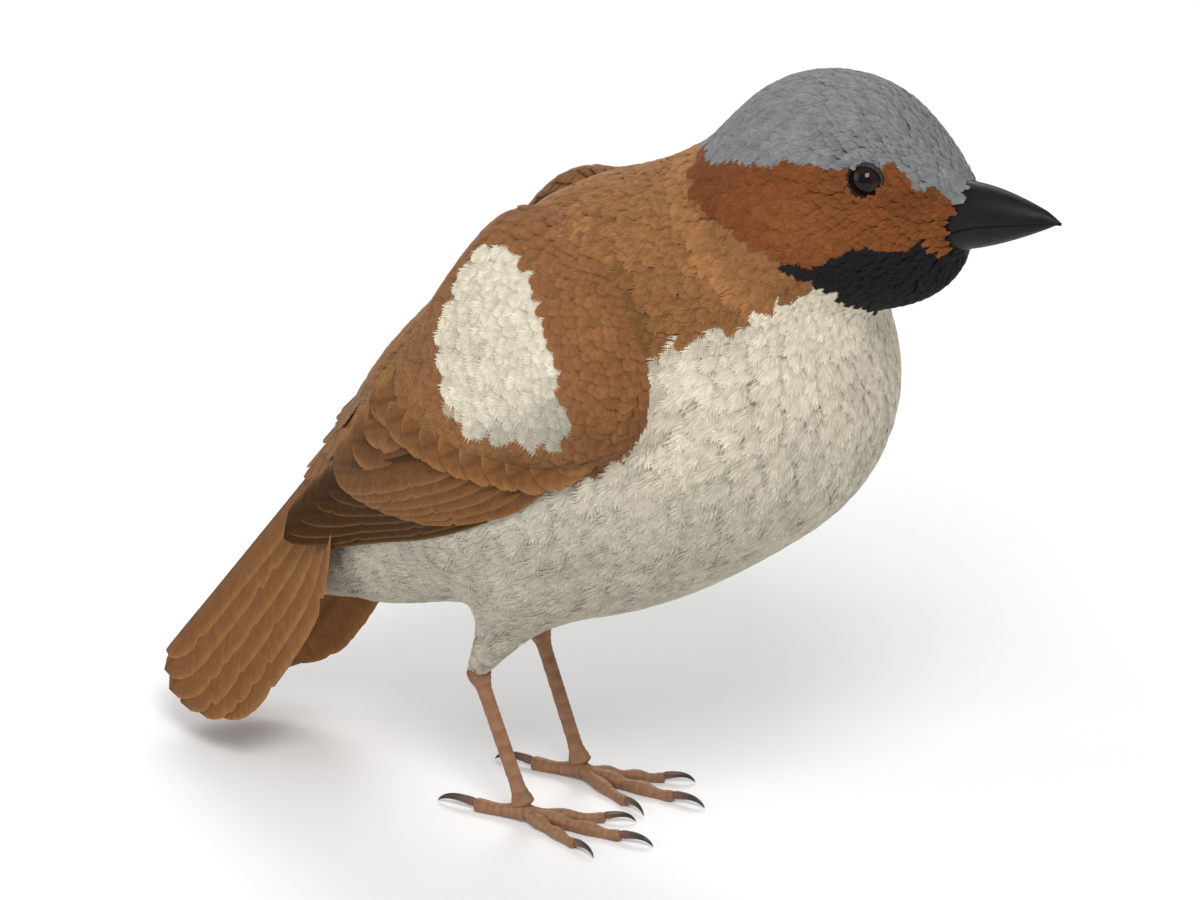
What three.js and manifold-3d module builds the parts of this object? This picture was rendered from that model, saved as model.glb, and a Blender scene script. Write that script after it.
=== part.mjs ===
// A male house sparrow, life size, standing: a still model parted into head, neck, trunk, wings, tail, legs,
// toes, claws, bill and eyes.
// Millimetres. +X is forward (the way the bird faces), +Y its left, +Z up. The floor is z = 0.
// The soft body is one smooth field: rounded masses melted together. Each fleshy piece is read off that field
// along rays from its own centre, then parted from its neighbours with thin cuts.
import * as THREE from 'three';
import { mergeVertices } from 'three/addons/utils/BufferGeometryUtils.js';
import Module from 'manifold-3d';

const wasm = await Module();
wasm.setup();

// ---------------------------------------------------------------- driving dimensions
const GAP = 0.3; // clearance between neighbouring pieces
const HALF_GAP = GAP / 2;
const DEG = Math.PI / 180;

// Rounded masses of the feathered body: centre, radii (along, across, deep), pitch of the long axis, how far it melts.
const TRUNK_MASSES = [
  { at: [14, 0, 56], r: [32.5, 20.5, 22.5], pitch: 42, melt: 1 },
  { at: [28, 0, 61.5], r: [22.5, 20.5, 21.5], pitch: 20, melt: 10 }, // breast
  { at: [7.5, 0, 45.5], r: [24, 18.5, 16], pitch: 10, melt: 10 }, // belly
  { at: [13, 0, 69.3], r: [19, 15.2, 11.6], pitch: 33, melt: 9 }, // mantle
  { at: [-12, 0, 47], r: [18.5, 9, 8.5], pitch: 55, melt: 9 }, // rump and upper tail coverts
  { at: [-11, 0, 33.3], r: [17, 9, 8], pitch: 30, melt: 8 }, // vent and under tail coverts
];
const NECK_MASSES = [{ at: [34.7, 0, 81.2], r: [15, 13.2, 13], pitch: 42, melt: 8 }];
const HEAD_MASSES = [
  { at: [44.3, 0, 91], r: [14.9, 11.8, 12.7], pitch: 4, melt: 5 }, // skull
  { at: [46, 4.6, 86.6], r: [9.5, 7, 7.5], pitch: 10, melt: 5 }, // cheek, left
  { at: [46, -4.6, 86.6], r: [9.5, 7, 7.5], pitch: 10, melt: 5 }, // cheek, right
  { at: [55.4, 0, 89.8], r: [7.2, 5.6, 6.2], pitch: -4, melt: 5 }, // forehead and lores
  { at: [52.8, 0, 82.4], r: [8, 6.5, 6], pitch: 20, melt: 5 }, // chin and throat
];
const NECK_CUT = { at: [41, 85.5], normalPitch: 48 }; // head from neck, in the XZ plane
const BREAST_CUT = { at: [33.5, 77.5], normalPitch: 61 }; // neck from trunk

const EYE_RADIUS = 2.35; // eyeball
const EYE_AT = [52.1, 94.5]; // x, z of its centre
const EYE_PROUD = 0.25; // how far the cornea stands below the feathered outline
const LID_RADIUS = 2.7; // dish in the feathers round the eye

const BILL_BASE = [59.7, 88.7]; // x, z of the bill's axis where the feathers end, a little inside them
const BILL_TIP = [74.5, 91.1];
const BILL_DEPTH = 9.3;
const BILL_WIDTH = 7.6;
const BILL_CULMEN_SHARE = 0.5; // how much of the depth lies above the axis
const GAPE_DROP = 1.5; // the mouth line turns down towards the gape

const WRIST = [29, 67]; // x, z of the folded wing's front
const WING_TIP = [-28.5, 31.5];
const WING_UP = 15.5; // reach of the scapulars and coverts over the axis, towards the back
const WING_UP_TIP = 8.5; // reach of the flight feathers over the axis
const WING_DOWN = 7.6; // reach under the axis
const WING_THICK = 4.6;
const WING_TIP_Y = 11.5; // how far out the wing tip lies
const WING_PART_AT = 0.5; // share of the chord where the flight feathers are parted from the coverts

const TAIL_ROOT = [-18.6, 50.7];
const TAIL_PITCH = 53; // droop under the horizontal
const TAIL_LENGTH = 55;
const TAIL_ROOT_HALF = 6.5; // half the width, measured round the arch
const TAIL_WIDEST_HALF = 18.5;
const TAIL_NOTCH = 4;
const TAIL_THICK = 2.6;
const TAIL_SLOPE = 56; // the two halves fall away from the middle like a tent
const TAIL_RIDGE = 3; // roundness of the tent's ridge

const FOOT_Y = 7.2; // half the distance between the feet
const FOOT_X = 5; // where the toes meet
const FOOT_Z = 1.9;
const HEEL = [-1.4, 19.2]; // x, z
const HEEL_Y = 7.6;
const THIGH_TOP = [9, 10.5, 36]; // inside the belly feathers
const THIGH_RADIUS = 6.2;
const TARSUS_HALF = [1.15, 0.9]; // fore and aft, across
// toes: yaw out from straight ahead, length to the claw's root, radius, claw length
const TOES = {
  inner: { yaw: -27, length: 9.8, radius: 0.85, claw: 3.6 },
  middle: { yaw: -2, length: 13.2, radius: 0.95, claw: 4.2 },
  outer: { yaw: 24, length: 10.2, radius: 0.85, claw: 3.6 },
  hind: { yaw: 180, length: 6.8, radius: 1.05, claw: 5.2 },
};

const COLOURS = {
  head: 0x7a4728,
  neck: 0x7a4a2c,
  trunk: 0xc4b8a2,
  wing: 0x96683f,
  flight: 0x55402b,
  tail: 0x55402b,
  bill: 0x2b272a,
  eye: 0x15100e,
  leg: 0xa0755c,
  claw: 0x3a2c26,
};

// ---------------------------------------------------------------- the body field
const ALL_MASSES = [...TRUNK_MASSES, ...NECK_MASSES, ...HEAD_MASSES];

function massDistance(m, x, y, z) {
  const c = Math.cos(m.pitch * DEG);
  const s = Math.sin(m.pitch * DEG);
  const dx = x - m.at[0];
  const dy = y - m.at[1];
  const dz = z - m.at[2];
  const u = dx * c + dz * s;
  const w = -dx * s + dz * c;
  const [a, b, d] = m.r;
  const k0 = Math.hypot(u / a, dy / b, w / d);
  const k1 = Math.hypot(u / (a * a), dy / (b * b), w / (d * d));
  return k1 < 1e-9 ? -Math.min(a, b, d) : (k0 * (k0 - 1)) / k1;
}

function field(x, y, z) {
  let d = massDistance(ALL_MASSES[0], x, y, z);
  for (let i = 1; i < ALL_MASSES.length; i += 1) {
    const m = ALL_MASSES[i];
    const e = massDistance(m, x, y, z);
    const h = Math.max(m.melt - Math.abs(d - e), 0) / m.melt;
    d = Math.min(d, e) - (h * h * m.melt) / 4;
  }
  return d;
}

// Where a ray from an inner point first leaves the field's level.
function leave(origin, dir, level, far = 130) {
  const step = 0.8;
  let t = 0;
  const at = (k) => field(origin.x + dir.x * k, origin.y + dir.y * k, origin.z + dir.z * k) - level;
  while (t < far && at(t) < 0) t += step;
  let lo = Math.max(t - step, 0);
  let hi = t;
  for (let i = 0; i < 24; i += 1) {
    const mid = (lo + hi) / 2;
    if (at(mid) < 0) lo = mid;
    else hi = mid;
  }
  return (lo + hi) / 2;
}

// Half width of the body at a point of its side view; 0 where there is no body.
function bodyHalfWidth(x, z) {
  if (field(x, 0, z) >= 0) return 0;
  return leave(new THREE.Vector3(x, 0, z), new THREE.Vector3(0, 1, 0), 0);
}

// ---------------------------------------------------------------- solids
function toSolid(geometry, matrix) {
  let g = geometry.clone();
  if (matrix) g.applyMatrix4(matrix);
  g.deleteAttribute('normal');
  g.deleteAttribute('uv');
  g = mergeVertices(g, 1e-4);
  const mesh = new wasm.Mesh({
    numProp: 3,
    vertProperties: new Float32Array(g.attributes.position.array),
    triVerts: new Uint32Array(g.index.array),
  });
  return new wasm.Manifold(mesh);
}

// The largest connected body of a solid, so that a cut leaves no crumbs.
function largest(solid) {
  const bodies = solid.decompose();
  return bodies.reduce((a, b) => (b.volume() > a.volume() ? b : a));
}

// The same solid with every vertex pushed out along its normal.
function inflated(solid, by) {
  const whole = solid.getMesh();
  const g = new THREE.BufferGeometry();
  g.setAttribute('position', new THREE.BufferAttribute(new Float32Array(whole.vertProperties), 3));
  g.setIndex(new THREE.BufferAttribute(new Uint32Array(whole.triVerts), 1));
  g.computeVertexNormals();
  const p = g.attributes.position;
  const n = g.attributes.normal;
  for (let i = 0; i < p.count; i += 1) {
    p.setXYZ(i, p.getX(i) + n.getX(i) * by, p.getY(i) + n.getY(i) * by, p.getZ(i) + n.getZ(i) * by);
  }
  return toSolid(g);
}

function toMesh(name, solid, material) {
  const whole = largest(solid).getMesh();
  const g = new THREE.BufferGeometry();
  g.setAttribute('position', new THREE.BufferAttribute(new Float32Array(whole.vertProperties), 3));
  g.setIndex(new THREE.BufferAttribute(new Uint32Array(whole.triVerts), 1));
  g.computeVertexNormals();
  const mesh = new THREE.Mesh(g, material);
  mesh.name = name;
  return mesh;
}

// A star-shaped reading of the field from one inner point.
function readField(centre, detail, level = 0) {
  const g = mergeVertices(stripped(new THREE.IcosahedronGeometry(1, detail)), 1e-5);
  const p = g.attributes.position;
  const c = new THREE.Vector3(...centre);
  const dir = new THREE.Vector3();
  for (let i = 0; i < p.count; i += 1) {
    dir.fromBufferAttribute(p, i).normalize();
    const t = leave(c, dir, level);
    p.setXYZ(i, c.x + dir.x * t, c.y + dir.y * t, c.z + dir.z * t);
  }
  return toSolid(g);
}

function stripped(g) {
  g.deleteAttribute('normal');
  g.deleteAttribute('uv');
  return g;
}

// A closed loft: rings with the same number of points. The end rings are closed across, like a ladder,
// because their two halves face each other.
function loft(rings) {
  const n = rings[0].length;
  const position = rings.flat().flatMap((v) => [v.x, v.y, v.z]);
  const index = [];
  for (let k = 0; k + 1 < rings.length; k += 1) {
    for (let i = 0; i < n; i += 1) {
      const j = (i + 1) % n;
      const a = k * n + i;
      const b = k * n + j;
      index.push(a, b, b + n, a, b + n, a + n);
    }
  }
  const cap = (base, flip) => {
    for (let i = 0; i < n / 2; i += 1) {
      const a = base + i;
      const b = base + i + 1;
      const c = base + ((n - i - 1) % n);
      const d = base + ((n - i) % n);
      const faces = i === 0 ? [[a, b, c]] : i === n / 2 - 1 ? [[a, b, d]] : [[a, b, c], [a, c, d]];
      for (const f of faces) index.push(...(flip ? f : [f[0], f[2], f[1]]));
    }
  };
  cap(0, false);
  cap((rings.length - 1) * n, true);
  const g = new THREE.BufferGeometry();
  g.setAttribute('position', new THREE.Float32BufferAttribute(position, 3));
  g.setIndex(index);
  // turn it inside out if its volume came out negative
  let volume = 0;
  const v = rings.flat();
  for (let i = 0; i < index.length; i += 3) {
    volume += v[index[i]].dot(new THREE.Vector3().crossVectors(v[index[i + 1]], v[index[i + 2]]));
  }
  if (volume < 0) {
    for (let i = 0; i < index.length; i += 3) [index[i + 1], index[i + 2]] = [index[i + 2], index[i + 1]];
    g.setIndex(index);
  }
  return toSolid(g);
}

// An oval limb along a path of stations { at: Vector3, a, b }: a is the radius in the path's own vertical plane.
function limb(stations, sides, grow = 0) {
  const rings = stations.map((s, i) => {
    const before = stations[Math.max(i - 1, 0)].at;
    const after = stations[Math.min(i + 1, stations.length - 1)].at;
    const along = new THREE.Vector3().subVectors(after, before).normalize();
    const across = new THREE.Vector3(-along.y, along.x, 0);
    if (across.lengthSq() < 0.02) across.set(0, 1, 0);
    across.normalize();
    const up = new THREE.Vector3().crossVectors(along, across).normalize();
    const end = i === 0 ? -grow : i === stations.length - 1 ? grow : 0;
    const ring = [];
    for (let k = 0; k < sides; k += 1) {
      const f = (k / sides) * 2 * Math.PI;
      ring.push(
        s.at
          .clone()
          .addScaledVector(across, Math.cos(f) * (s.b + grow))
          .addScaledVector(up, Math.sin(f) * (s.a + grow))
          .addScaledVector(along, end),
      );
    }
    return ring;
  });
  return loft(rings);
}

function box(sx, sy, sz, matrix) {
  return toSolid(new THREE.BoxGeometry(sx, sy, sz), matrix);
}

// A big block whose lower face is the cut plane, moved along its normal by `shift`.
function sideOf(cut, shift, above) {
  const a = cut.normalPitch * DEG;
  const nx = Math.cos(a);
  const nz = Math.sin(a);
  const size = 300;
  const off = shift + (above ? size / 2 : -size / 2);
  const m = new THREE.Matrix4()
    .makeTranslation(cut.at[0] + nx * off, 0, cut.at[1] + nz * off)
    .multiply(new THREE.Matrix4().makeRotationY(Math.PI / 2 - a));
  return box(size, size, size, m);
}

const floorBlock = box(400, 400, 100, new THREE.Matrix4().makeTranslation(0, 0, -50));
const smooth = (t) => t * t * (3 - 2 * t);
const ramp = (a, b, t) => smooth(Math.min(Math.max((t - a) / (b - a), 0), 1));
const mirrorY = new THREE.Matrix4().makeScale(1, -1, 1);

// ---------------------------------------------------------------- bill
const billAxis = new THREE.Vector2(BILL_TIP[0] - BILL_BASE[0], BILL_TIP[1] - BILL_BASE[1]);
function billSolid(grow) {
  const rings = [];
  const stations = 9;
  for (let i = 0; i <= stations; i += 1) {
    const t = i / stations;
    // stout cone, a little bulged, with the culmen curving down to the tip
    const fat = Math.max(Math.pow(1 - t, 0.72) * (1 + 0.16 * Math.sin(Math.PI * t)), 0.045);
    const x = BILL_BASE[0] + billAxis.x * t + (i === stations ? grow : i === 0 ? -grow : 0);
    const z = BILL_BASE[1] + billAxis.y * t - 0.35 * t * t;
    const ring = [];
    for (let k = 0; k < 14; k += 1) {
      const f = (k / 14) * 2 * Math.PI;
      const up = Math.sin(f);
      const share = up > 0 ? BILL_CULMEN_SHARE : 1 - BILL_CULMEN_SHARE;
      const half = BILL_DEPTH * share * fat + grow;
      // a slight ridge along the culmen
      const narrow = up > 0 ? 1 - 0.16 * up * up : 1 - 0.06 * up * up;
      ring.push(new THREE.Vector3(x, Math.cos(f) * narrow * ((BILL_WIDTH / 2) * fat + grow), z + up * half));
    }
    rings.push(ring);
  }
  return loft(rings);
}
// Height of the mouth line at x.
function mouthLine(x) {
  const t = (x - BILL_BASE[0]) / billAxis.x;
  const back = Math.max(0, 1 - t / 0.42);
  return BILL_BASE[1] + billAxis.y * t - 0.3 * t * t - 0.25 - GAPE_DROP * back * back;
}
function jawBlock(upper) {
  const shape = new THREE.Shape();
  const x0 = BILL_BASE[0] - 4;
  const x1 = BILL_TIP[0] + 4;
  const shift = upper ? HALF_GAP : -HALF_GAP;
  const far = upper ? 30 : -30;
  shape.moveTo(x0, mouthLine(x0) + shift);
  for (let i = 1; i <= 16; i += 1) {
    const x = x0 + ((x1 - x0) * i) / 16;
    shape.lineTo(x, mouthLine(x) + shift);
  }
  shape.lineTo(x1, BILL_BASE[1] + far);
  shape.lineTo(x0, BILL_BASE[1] + far);
  shape.closePath();
  const g = new THREE.ExtrudeGeometry(shape, { depth: 40, bevelEnabled: false });
  // the shape's plane is XZ
  const m = new THREE.Matrix4().makeRotationX(Math.PI / 2).premultiply(new THREE.Matrix4().makeTranslation(0, 20, 0));
  return toSolid(g, m);
}
const bill = billSolid(0);
const billUpper = bill.intersect(jawBlock(true));
const billLower = bill.intersect(jawBlock(false));

// ---------------------------------------------------------------- eyes
const eyeSurface = leave(new THREE.Vector3(EYE_AT[0], 0, EYE_AT[1]), new THREE.Vector3(0, 1, 0), 0);
const eyeY = eyeSurface - EYE_PROUD - EYE_RADIUS;
function ball(radius, side, out = 0, squash = 1, detail = 2) {
  const m = new THREE.Matrix4()
    .makeTranslation(EYE_AT[0], side * (eyeY + out), EYE_AT[1])
    .multiply(new THREE.Matrix4().makeScale(1, squash, 1));
  return toSolid(new THREE.IcosahedronGeometry(radius, detail), m);
}
const socket = (side) =>
  ball(EYE_RADIUS + GAP, side).add(ball(LID_RADIUS, side, EYE_RADIUS + 0.15, 0.62));

// ---------------------------------------------------------------- wings
const wingAxis = new THREE.Vector2(WING_TIP[0] - WRIST[0], WING_TIP[1] - WRIST[1]);
const wingLength = wingAxis.length();
const wingDir = wingAxis.clone().divideScalar(wingLength);
const wingUp = new THREE.Vector2(wingDir.y, -wingDir.x); // towards the back

function wingSolid(side) {
  const stations = 13;
  const sides = 16;
  const rings = [];
  for (let i = 0; i <= stations; i += 1) {
    const t = i / stations;
    const s = 0.012 + 0.976 * t;
    // broad over the shoulder, then long and narrow towards the primaries' tip
    const front = Math.pow(Math.min(s / 0.1, 1), 0.45);
    const blunt = s > 0.94 ? Math.sqrt((1 - s) / 0.06) : 1;
    const up = (WING_UP * (1 - ramp(0.25, 0.85, s)) + WING_UP_TIP * Math.pow(1 - s, 0.36)) * front * blunt;
    const down = (WING_DOWN * Math.pow(Math.min(s / 0.3, 1), 0.5) * (1 - ramp(0.5, 1, s)) + 3.6 * Math.pow(1 - s, 0.3)) * blunt;
    const thick = WING_THICK * (0.42 + 0.58 * smooth(Math.min((1 - s) / 0.8, 1))) * Math.min(1, 0.35 + s * 6);
    const ring = [];
    for (let k = 0; k < sides; k += 1) {
      // round the leaf edge and back, evenly across it
      const v = 1 - (4 * Math.min(k, sides - k)) / sides;
      const face = k === 0 || k === sides / 2 ? 0 : k < sides / 2 ? 1 : -1;
      const h = v > 0 ? up * v : down * v;
      const x = WRIST[0] + wingDir.x * wingLength * s + wingUp.x * h;
      const z = WRIST[1] + wingDir.y * wingLength * s + wingUp.y * h;
      const free = WING_TIP_Y * (0.86 + 0.14 * smooth(Math.min(s / 0.6, 1)));
      const body = bodyHalfWidth(x, z);
      // a soft maximum of the body's side and the free wing's own line
      const gap = Math.max(8 - Math.abs(body - free), 0) / 8;
      const lie = Math.max(body, free) + gap * gap * 2;
      // a lens: full in the middle, thin at its edges
      const lens = face * (Math.sqrt(1 - Math.pow(Math.abs(v), 2.6)) * (thick / 2));
      ring.push(new THREE.Vector3(x, side * (lie + lens + 0.2), z));
    }
    rings.push(ring);
  }
  return loft(rings);
}
const wingCut = (shift, above) => {
  const x = WRIST[0] + wingAxis.x * WING_PART_AT;
  const z = WRIST[1] + wingAxis.y * WING_PART_AT;
  return sideOf({ at: [x, z], normalPitch: Math.atan2(-wingDir.y, -wingDir.x) / DEG }, shift, above);
};

// ---------------------------------------------------------------- tail
const tailDir = new THREE.Vector3(-Math.cos(TAIL_PITCH * DEG), 0, -Math.sin(TAIL_PITCH * DEG));
const tailUp = new THREE.Vector3(-Math.sin(TAIL_PITCH * DEG), 0, Math.cos(TAIL_PITCH * DEG));
function tailSolid(grow) {
  const rings = [];
  const stations = 10;
  const sides = 20;
  for (let i = 0; i <= stations; i += 1) {
    const t = i / stations;
    const half = TAIL_ROOT_HALF + (TAIL_WIDEST_HALF - TAIL_ROOT_HALF) * ramp(0, 0.6, t) - 2 * ramp(0.75, 1, t) + grow;
    const thick = TAIL_THICK * (1 - 0.5 * t);
    const slope = TAIL_SLOPE * DEG * ramp(-0.2, 0.5, t);
    const ring = [];
    for (let k = 0; k < sides; k += 1) {
      const f = (k / sides) * 2 * Math.PI;
      const v = Math.cos(f);
      // notched in the middle, the outer corners rounded off
      const reach = TAIL_LENGTH - TAIL_NOTCH * Math.pow(1 - Math.abs(v), 1.6) - 12.5 * Math.pow(Math.abs(v), 3);
      const end = i === 0 ? -grow : i === stations ? grow : 0;
      const across = Math.abs(half * v);
      const ridge = Math.exp(-across / TAIL_RIDGE);
      const lean = Math.sign(v) * Math.atan2(Math.sin(slope) * (1 - ridge), Math.cos(slope) + (1 - Math.cos(slope)) * ridge);
      const out = Math.sign(v) * (across * Math.cos(slope) + (1 - Math.cos(slope)) * TAIL_RIDGE * (1 - ridge));
      const drop = Math.sin(slope) * (across - TAIL_RIDGE * (1 - ridge));
      const lift = Math.sin(f) * (thick / 2 + grow);
      ring.push(
        new THREE.Vector3(TAIL_ROOT[0], 0, TAIL_ROOT[1])
          .addScaledVector(tailDir, reach * t + end)
          .addScaledVector(new THREE.Vector3(0, 1, 0), out + lift * Math.sin(lean))
          .addScaledVector(tailUp, lift * Math.cos(lean) - drop),
      );
    }
    rings.push(ring);
  }
  return loft(rings);
}

// ---------------------------------------------------------------- legs and feet
function thighSolid(side, grow) {
  const top = new THREE.Vector3(THIGH_TOP[0], side * THIGH_TOP[1], THIGH_TOP[2]);
  const low = new THREE.Vector3(HEEL[0], side * HEEL_Y, HEEL[1]).lerp(top, 0.05);
  const stations = [];
  for (let i = 0; i <= 6; i += 1) {
    const t = i / 6;
    const r = 1.75 + (THIGH_RADIUS - 1.75) * Math.pow(t, 1.15);
    stations.push({ at: low.clone().lerp(top, t), a: r * 1.08, b: r * 0.92 });
  }
  return limb(stations, 12, grow);
}
function tarsusSolid(side, grow) {
  const heel = new THREE.Vector3(HEEL[0], side * HEEL_Y, HEEL[1]);
  const foot = new THREE.Vector3(FOOT_X, side * FOOT_Y, FOOT_Z);
  const stations = [];
  const n = 8;
  for (let i = 0; i <= n; i += 1) {
    const t = i / n;
    // a knuckle at the heel and a rounded end where the toes meet
    const heelKnob = 0.75 * Math.exp(-Math.pow((t - 0.06) / 0.08, 2));
    const footKnob = 0.75 * Math.exp(-Math.pow((t - 0.96) / 0.07, 2));
    const endTaper = i === 0 ? 0.6 : i === n ? 0.8 : 1;
    stations.push({
      at: heel.clone().lerp(foot, t),
      a: (TARSUS_HALF[0] + heelKnob + footKnob) * endTaper,
      b: (TARSUS_HALF[1] + heelKnob * 0.8 + footKnob) * endTaper,
    });
  }
  return limb(stations, 8, grow);
}
function toePath(side, toe, s) {
  const a = -side * toe.yaw * DEG * -1;
  const dir = new THREE.Vector3(Math.cos(a), Math.sin(a), 0);
  return new THREE.Vector3(FOOT_X, side * FOOT_Y, 0).addScaledVector(dir, s);
}
function toeSolid(side, toe, grow) {
  const stations = [];
  const n = 6;
  for (let i = 0; i <= n; i += 1) {
    const t = i / n;
    const s = 0.6 + (toe.length - 0.6) * t;
    // pads: the toe swells between its joints
    const pad = 1 + 0.13 * Math.cos(t * Math.PI * 2 * 2) * (1 - 0.3 * t);
    const r = toe.radius * pad * (1 - 0.22 * t) * (i === n ? 0.75 : 1);
    const at = toePath(side, toe, s);
    at.z = FOOT_Z * 0.8 * Math.pow(1 - t, 2.2) + r * 0.82 * (1 - Math.pow(1 - t, 2.2)) + 0.12 * (1 - t);
    stations.push({ at, a: r, b: r * 1.02 });
  }
  return limb(stations, 8, grow);
}
function clawSolid(side, toe, grow) {
  const stations = [];
  const n = 5;
  const root = toe.radius * 0.62;
  for (let i = 0; i <= n; i += 1) {
    const t = i / n;
    const at = toePath(side, toe, toe.length + GAP + toe.claw * Math.sin(t * 1.25) / Math.sin(1.25));
    at.z = root + 0.3 + 0.55 * Math.sin(t * Math.PI * 0.8) - (root + 0.56) * t * t;
    const r = root * Math.pow(1 - t, 0.8) + 0.16;
    stations.push({ at, a: r * 1.1, b: r * 0.85 });
  }
  return limb(stations, 6, grow);
}

// ---------------------------------------------------------------- assembly
const material = (name, roughness = 0.85) =>
  new THREE.MeshStandardMaterial({ color: COLOURS[name], roughness, metalness: 0 });

const sparrow = new THREE.Group();
sparrow.name = 'house_sparrow';

const wings = { left: wingSolid(1), right: wingSolid(-1) };
const wingsGrown = inflated(wings.left, GAP + 0.22).add(inflated(wings.right, GAP + 0.22));
const billGrown = billSolid(GAP);

const headSolid = readField([46.5, 0, 89.5], 6)
  .intersect(sideOf(NECK_CUT, HALF_GAP, true))
  .subtract(billGrown)
  .subtract(socket(1))
  .subtract(socket(-1));
sparrow.add(toMesh('head', headSolid, material('head')));

const neckSolid = readField([37, 0, 82], 5)
  .intersect(sideOf(NECK_CUT, -HALF_GAP, false))
  .intersect(sideOf(BREAST_CUT, HALF_GAP, true))
  .subtract(wingsGrown);
sparrow.add(toMesh('neck', neckSolid, material('neck')));

const trunkSolid = readField([13, 0, 55], 8).intersect(sideOf(BREAST_CUT, -HALF_GAP, false)).subtract(wingsGrown);
const trunkGrown = readField([13, 0, 55], 8, GAP);
sparrow.add(toMesh('trunk', trunkSolid, material('trunk')));

const tailPiece = tailSolid(0).subtract(trunkGrown).subtract(wingsGrown);
sparrow.add(toMesh('tail', tailPiece, material('tail')));

sparrow.add(toMesh('bill_upper', billUpper, material('bill', 0.45)));
sparrow.add(toMesh('bill_lower', billLower, material('bill', 0.45)));

for (const [word, side] of [['left', 1], ['right', -1]]) {
  sparrow.add(toMesh(`eye_${word}`, ball(EYE_RADIUS, side, 0, 1, 3), material('eye', 0.08)));
  sparrow.add(toMesh(`wing_${word}_coverts`, wings[word].intersect(wingCut(HALF_GAP, true)), material('wing')));
  sparrow.add(toMesh(`wing_${word}_flight`, wings[word].intersect(wingCut(-HALF_GAP, false)), material('flight')));

  const thigh = thighSolid(side, 0).subtract(trunkGrown);
  sparrow.add(toMesh(`thigh_${word}`, thigh, material('trunk')));
  const tarsus = tarsusSolid(side, 0).subtract(thighSolid(side, GAP)).subtract(floorBlock);
  sparrow.add(toMesh(`tarsus_${word}`, tarsus, material('leg', 0.6)));
  const tarsusGrown = tarsusSolid(side, GAP);
  const middleGrown = toeSolid(side, TOES.middle, GAP);
  for (const [toeName, toe] of Object.entries(TOES)) {
    let piece = toeSolid(side, toe, 0).subtract(tarsusGrown).subtract(floorBlock);
    if (toeName === 'inner' || toeName === 'outer') piece = piece.subtract(middleGrown);
    if (toeName === 'outer') piece = piece.subtract(toeSolid(side, TOES.inner, GAP));
    sparrow.add(toMesh(`toe_${toeName}_${word}`, piece, material('leg', 0.6)));
    const claw = clawSolid(side, toe, 0).subtract(floorBlock);
    sparrow.add(toMesh(`claw_${toeName}_${word}`, claw, material('claw', 0.5)));
  }
}

// The frame's origin: on the floor, under the middle of the whole bird.
const bounds = new THREE.Box3().setFromObject(sparrow);
sparrow.position.set(-(bounds.min.x + bounds.max.x) / 2, -(bounds.min.y + bounds.max.y) / 2, 0);

export default sparrow;
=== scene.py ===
"""A male house sparrow, standing: skin, coat of feathers, flight feathers, bill, eyes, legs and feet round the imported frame.

Lengths in the code are millimetres in the bird's own layout frame (x forward, y to its left, z up, floor at 0).
put() turns them into metres in the row frame just before a mesh is made.
"""

import bpy
import math
import numpy as np
import openvdb as vdb
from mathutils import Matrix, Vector, kdtree


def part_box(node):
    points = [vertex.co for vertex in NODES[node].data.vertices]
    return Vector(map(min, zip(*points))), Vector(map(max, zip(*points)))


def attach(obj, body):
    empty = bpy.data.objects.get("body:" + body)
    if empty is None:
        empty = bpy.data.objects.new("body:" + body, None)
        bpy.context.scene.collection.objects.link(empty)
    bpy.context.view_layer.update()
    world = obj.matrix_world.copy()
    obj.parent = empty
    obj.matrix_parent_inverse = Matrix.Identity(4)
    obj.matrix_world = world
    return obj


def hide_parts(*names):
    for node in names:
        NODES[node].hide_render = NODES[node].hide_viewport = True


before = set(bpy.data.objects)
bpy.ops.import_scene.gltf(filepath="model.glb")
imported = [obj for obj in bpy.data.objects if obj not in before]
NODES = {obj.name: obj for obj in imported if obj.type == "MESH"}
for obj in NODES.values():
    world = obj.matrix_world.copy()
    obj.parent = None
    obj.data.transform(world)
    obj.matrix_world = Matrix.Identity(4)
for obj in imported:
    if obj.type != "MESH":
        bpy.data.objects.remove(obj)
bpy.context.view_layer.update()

# ------------------------------------------------------------------ layout
EYE_X, EYE_Z, EYE_R = 52.1, 94.5, 2.35
_lo, _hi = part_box("eye_left")
SHIFT = EYE_X - 500.0 * (_lo[0] + _hi[0])  # layout x minus row x
EYE_Y = 500.0 * (_lo[1] + _hi[1])

BILL_BASE, BILL_TIP = (59.7, 88.7), (74.5, 91.1)
BILL_DEPTH, BILL_WIDTH = 9.3, 7.6
WRIST, WING_TIP = np.array([29.0, 67.0]), np.array([-28.5, 31.5])
WING_LEN = float(np.linalg.norm(WING_TIP - WRIST))
WDIR = (WING_TIP - WRIST) / WING_LEN
WUP = np.array([WDIR[1], -WDIR[0]])
TAIL_ROOT, TAIL_PITCH, TAIL_LEN = (-18.6, 50.7), 53.0, 55.0
TAIL_SLOPE, TAIL_RIDGE = 56.0, 3.0
FOOT_X, FOOT_Y, FOOT_Z = 5.0, 7.2, 1.9
HEEL, HEEL_Y = (-1.4, 19.2), 7.6
THIGH_TOP = (9.0, 10.5, 36.0)

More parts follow.
